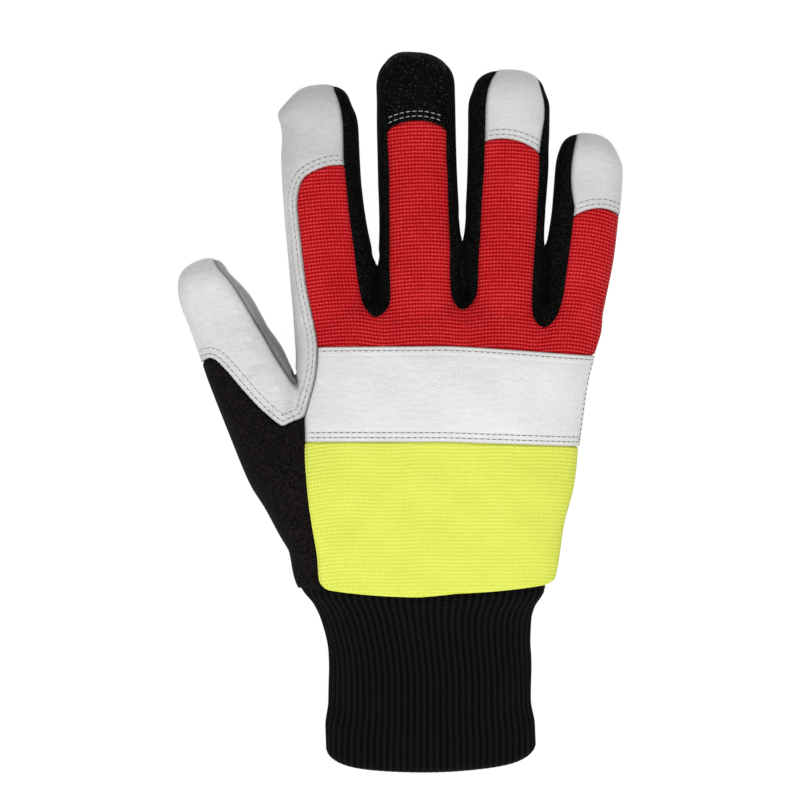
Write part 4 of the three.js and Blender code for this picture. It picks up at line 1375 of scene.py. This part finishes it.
# rise is 1 on a rib's crest and 0 between two ribs. The knit is painted darker between the ribs: painted
# shade in their valleys.
rise = wave(tree, "COSINE", maths(tree, "MULTIPLY", across, 2 * math.pi))
face = weighted(tree, (leg, 0.35), (yarn, 0.65))
face = maths(tree, "MULTIPLY", face, maths(tree, "MULTIPLY_ADD", rise, 0.6, 0.4))
colour = ramp(tree, face, (0.16, (0.0006, 0.0007, 0.0007)), (0.62, (0.0090, 0.0098, 0.0090)))
finished(knit_yarn, colour, bump(tree, yarn, 0.14, 0.7, bump(tree, leg, 0.22, 0.7)))

# %% Cuff
CUFF_WALL = 2.4
CUFF_TOP, HEM_START = -0.06, 0.985  # where the knit starts inside the glove, and its hem turns
HEM_CORNER = 2.6  # how far the hem is drawn up at its two ends
HEM_DRAWN_UP, HEM_SLOPE = 3.6, 0.018  # how much flatter the hem lies than the CAD part's, and askew
POINTS_PER_RIB = 8
RIB_HEIGHT = 0.75
GATHER_LENGTH, PUCKERS = 0.22, 26  # how far down the cuff it is gathered, and in how many puckers
WRIST_MIDDLE = (HAND_SECTIONS[1, 1] + HAND_SECTIONS[1, 2]) / 2 * HALF_HAND


def cuff_oval(along, count):
    """Evenly spaced points of the cuff's oval, and which way is out."""
    half = read(CUFF_SECTIONS, 1, along) * CUFF_WIDTH / 2
    top, bottom = read(CUFF_SECTIONS, 2, along) * CUFF_HEIGHT, -FLOOR_SINK
    ring = oval_ring((0, 0), (1, 0), half, bottom, top, 1440)[:, [0, 2]]
    closed = np.concatenate([ring, ring[:1]])
    length = lengths(closed)
    even = sampled(closed, np.arange(count) / count * length[-1], length)
    way = np.roll(even, -1, axis=0) - np.roll(even, 1, axis=0)
    return even, unit(np.column_stack([way[:, 1], -way[:, 0]]))


count = CUFF_RIBS * POINTS_PER_RIB
share = np.arange(count) / count
# how far down the cuff, how deep below its skin, and how tall the ribs are there
outside = [(a, 0.0, 1.0) for a in np.linspace(CUFF_TOP, HEM_START, 64)]
hem = [
    (HEM_START + (1 - HEM_START) * math.sin(t), 0.5 * CUFF_WALL * (1 - math.cos(t)), math.cos(t / 2))
    for t in np.linspace(0.25, math.pi - 0.25, 6)
]
lining = [(a, CUFF_WALL, 0.25) for a in np.linspace(HEM_START, CUFF_TOP, 16)]
rings, places = [], []
for along, depth, ribs in [*outside, *hem, *lining]:
    even, out = cuff_oval(along, count)
    gather = max(0.0, 1 - along / GATHER_LENGTH)
    rib = 0.5 + 0.5 * np.cos(2 * np.pi * share * CUFF_RIBS)
    lift = RIB_HEIGHT * ribs * (rib**0.8 - 0.5) - depth
    lift -= 1.5 * smooth_step(-along / 0.05 + 0.35) * (depth < CUFF_WALL)
    pucker = np.sin(2 * np.pi * (share * PUCKERS + 0.4 * np.sin(share * 40)))
    lift += 0.28 * gather * ribs * pucker * smooth_step(along / 0.08)
    lift += 0.35 * np.sin(2 * np.pi * share * 5 + along * 7)
    flat = even + out * lift[:, None]
    x = flat[:, 0] + 1.5 * WRIST_MIDDLE * smooth_step(1 - along / 0.5)
    down = max(0, along)
    sag = mix(WRIST_SAG, HEM_SAG - HEM_DRAWN_UP, down)
    y = WRIST_Y - along * CUFF_LENGTH + sag * (x / HALF_HAND) ** 2
    y += down * (HEM_SLOPE * x + HEM_CORNER * (np.abs(x) / (CUFF_WIDTH / 2)) ** 8)
    rings.append(np.column_stack([x, y, np.maximum(flat[:, 1], 0.0 if depth < 0.1 else 0.3)]))
    up = np.full(count, -along * CUFF_LENGTH)
    places.append(np.column_stack([share * CUFF_RIBS, up, np.zeros(count)]))
cuff_points = np.concatenate(rings)
around = np.arange(count)
quads = []
for r in range(len(rings)):
    a = r * count + around
    b = r * count + (around + 1) % count
    c, d = (b + count) % len(cuff_points), (a + count) % len(cuff_points)
    quads += [np.column_stack([a, d, c]), np.column_stack([a, c, b])]
quads, places = np.concatenate(quads), np.concatenate(places)
make_piece("knit_cuff_ribs", cuff_points, quads, knit_yarn, "knit_cuff", places)

# %% [markdown]
# ## Stitches
# A stitch is a short piece of thread that comes up out of the leather and dives back in. Between
# two stitches the needle left a hole, and its shade is painted as a narrow dark strip on the
# leather. Each row is a line at a set distance from a seam, dropped onto the form from above, and
# measured out in equal steps along the surface, so that the stitches keep their length where the
# glove curves away. One row runs down the band's right end.

# %% Threads
THREAD = 0.21  # half the thickness of the thread
form_tree = BVHTree.FromPolygons(FINE[0].tolist(), FINE[2].tolist())


def thread_finish(name, colour):
    material, tree = new_finish(name, 0.65, sheen=0.1, specular=0.3)
    sockets = {"Vector": place_in(tree), "Scale": 900.0, "Distortion": 1.0}
    twist = node(tree, "TexWave", sockets, bands_direction="DIAGONAL").outputs["Fac"]
    look = ramp(tree, twist, (0.2, tuple(0.6 * c for c in colour)), (0.7, colour))
    return finished(material, look, bump(tree, twist, 0.06, 0.7))


pale_thread = thread_finish("pale_thread", (0.66, 0.66, 0.655))
cream_thread = thread_finish("cream_thread", (0.60, 0.58, 0.53))
dark_thread = thread_finish("dark_thread", (0.10, 0.10, 0.10))
# The dark strips between the stitches are painted shade for the needle's holes.
needle_hole_shade, tree = new_finish("needle_hole_shade", 0.95, specular=0.05)
finished(needle_hole_shade, ramp(tree, noise(tree, 0.9), (0.3, 0.10), (0.7, 0.27)))


# %% Laying a row of stitches
def shifted(line, distance):
    """The line moved to its left by a distance."""
    way = unit(np.gradient(line, axis=0))
    return line + np.column_stack([-way[:, 1], way[:, 0]]) * np.reshape(distance, (-1, 1))


def dropped(line, bounds):
    """The line laid on the form from above, where it is inside all its bounds: places and normals."""
    along = lengths(line)
    found = []
    for x, y in sampled(line, np.arange(0, along[-1], 0.3), along):
        place, normal, _, _ = form_tree.ray_cast((x, y, 80), (0, 0, -1))
        if place is not None:
            found.append((*place, *normal))
    found = np.array(found).reshape(-1, 6)
    here = seam_distances(found[:, :3])
    here |= {f"-{name}": -distance for name, distance in here.items()}
    found = found[np.min([here[name] - least for name, least in bounds.items()], axis=0) > 0]
    for k in range(3, 6):
        found[:, k] = np.convolve(np.pad(found[:, k], 4, mode="edge"), np.ones(9) / 9, "valid")
    return found


def tube(centres, radii, ups, flatness=1.0, sides=6):
    """A closed tube through some centres. ups are directions square to it. Below 1 it is flat."""
    across = np.cross(unit(np.gradient(centres, axis=0)), ups)
    turn = np.arange(sides) * 2 * np.pi / sides
    points, faces = loft([
        c + r * (np.cos(turn)[:, None] * s + flatness * np.sin(turn)[:, None] * u)
        for c, r, s, u in zip(centres, radii, across, ups)
    ])
    return points, [(face[0], face[k], face[k + 1]) for face in faces for k in range(1, len(face) - 1)]


# along a stitch or a slot: how far, how thick, and how high a thread and a slot lie there
ALONG = np.array([0, 0.14, 0.38, 0.62, 0.86, 1])
THICK = np.array([0.5, 0.9, 1, 1, 0.9, 0.5])
THREAD_RISE = np.array([-1.1, 0.2, 0.75, 0.75, 0.2, -1.1])
SLOT_RISE = np.array([-0.12, -0.03, -0.02, -0.02, -0.03, -0.12])
SLOT, SLOT_FLATNESS = 0.22, 0.45  # half the width of a slot, and its depth in widths


def stitches(name, finish, level, rows, length=1.3, step=2.35, holes=True, thick=THREAD, shape=None):
    """Rows of stitches as one piece, and as another the dark strips between them: painted shade
    for the needle's holes.
    """
    threads, hole_shades = [], []
    for line, bounds in rows:
        found = dropped(line, bounds)
        if len(found) < 10:
            continue
        along = lengths(found[:, :3])
        jumps = np.concatenate([[False], np.diff(along) > 2.0])
        for start in np.arange(0.5, along[-1] - step, step):
            if jumps[(along > start - 0.5) & (along < start + step + 0.5)].any():
                continue
            for parts, first, last, rise, wide, flatness in (
                (threads, 0, length, thick * THREAD_RISE, thick, 1.0),
                (hole_shades, length - 0.1, step + 0.1, SLOT_RISE, SLOT, SLOT_FLATNESS),
            ):
                centre, normal = np.hsplit(sampled(found, start + mix(first, last, ALONG), along), 2)
                normal = unit(normal)
                lift = level + lie(centre, normal, level) - 0.06
                if shape is not None:
                    lift += shape(centre)
                skin = centre + normal * lift[:, None]
                parts.append(tube(skin + normal * rise[:, None], wide * THICK, normal, flatness))
    for label, parts, look in ((name, threads, finish), (f"{name}_slots", hole_shades, needle_hole_shade)):
        if parts and (holes or parts is threads):
            points, faces = joined(parts)
            make_piece(label, points, np.array(faces), look, sharp=180)


# %% Rows of the saddle, the band and the caps
def saddle_rows():
    """Two rows along the saddle. They run closer to its edge beside the red than elsewhere."""
    v_tip = saddle_line[:, 1].argmin()
    beside = np.arange(len(saddle_line)) > v_tip
    for at_thumb, at_red, at_cap in ((1.6, 1.15, 1.8), (3.9, 2.8, 3.7)):
        distance = np.interp(saddle_line[:, 1], (0, 18, 94, 104), (at_thumb, at_red, at_red, at_cap))
        distance = np.where(beside, distance, at_thumb)
        yield shifted(saddle_line, distance), {"saddle": 0.9 * at_red, "-low": 0.9, "-strip_0": 0.5}


stitches("saddle_stitches", pale_thread, 0.5, saddle_rows(), shape=saddle_creases)
across_hand = np.linspace(-56, 70, 120)
top_edge, low_edge = (np.column_stack([across_hand, band_edge_y(k, across_hand)]) for k in (1, 2))
band_bounds = {"-saddle": 0.9, "-suede": 0.9, "-low": 0.9, "below_red": 0.9, "-below_band": 0.9}
band_rows = [top_edge - (0, 1.6), low_edge + (0, 1.6), low_edge + (0, 3.5)]
stitches("band_stitches", pale_thread, 0.5, [(row, band_bounds) for row in band_rows])
along_band = np.linspace(0.5, 0.92, 80)
right_x = read(HAND_SECTIONS, 2, along_band) * HALF_HAND - 0.7
right_side = np.column_stack([right_x, WRIST_Y + along_band * HAND_LENGTH])
side_bounds = {"-low": 0.2, "below_red": 1.2, "-below_band": 1.2}
stitches("band_side_stitches", dark_thread, 0.5, [(right_side, side_bounds)], 1.2, 2.0, False, 0.2)
for finger, sides, finish, *look in (
    (middle, ("-strip_0", "-strip_1", "-low"), cream_thread, 0.3, 1.8, 2.4, False, 0.15),
    (ring, ("-strip_1", "-strip_2", "-low"), pale_thread, 0.42),
    (little, ("-strip_2", "-low"), pale_thread, 0.42),
):
    edge = cap_edge(finger, -1.2, 1.2)
    rows = [(shifted(edge, distance), dict.fromkeys(sides, 0.6)) for distance in STITCH_ROWS]
    stitches(f"{finger['name']}_tip_stitches", finish, look[0], rows, *look[1:])
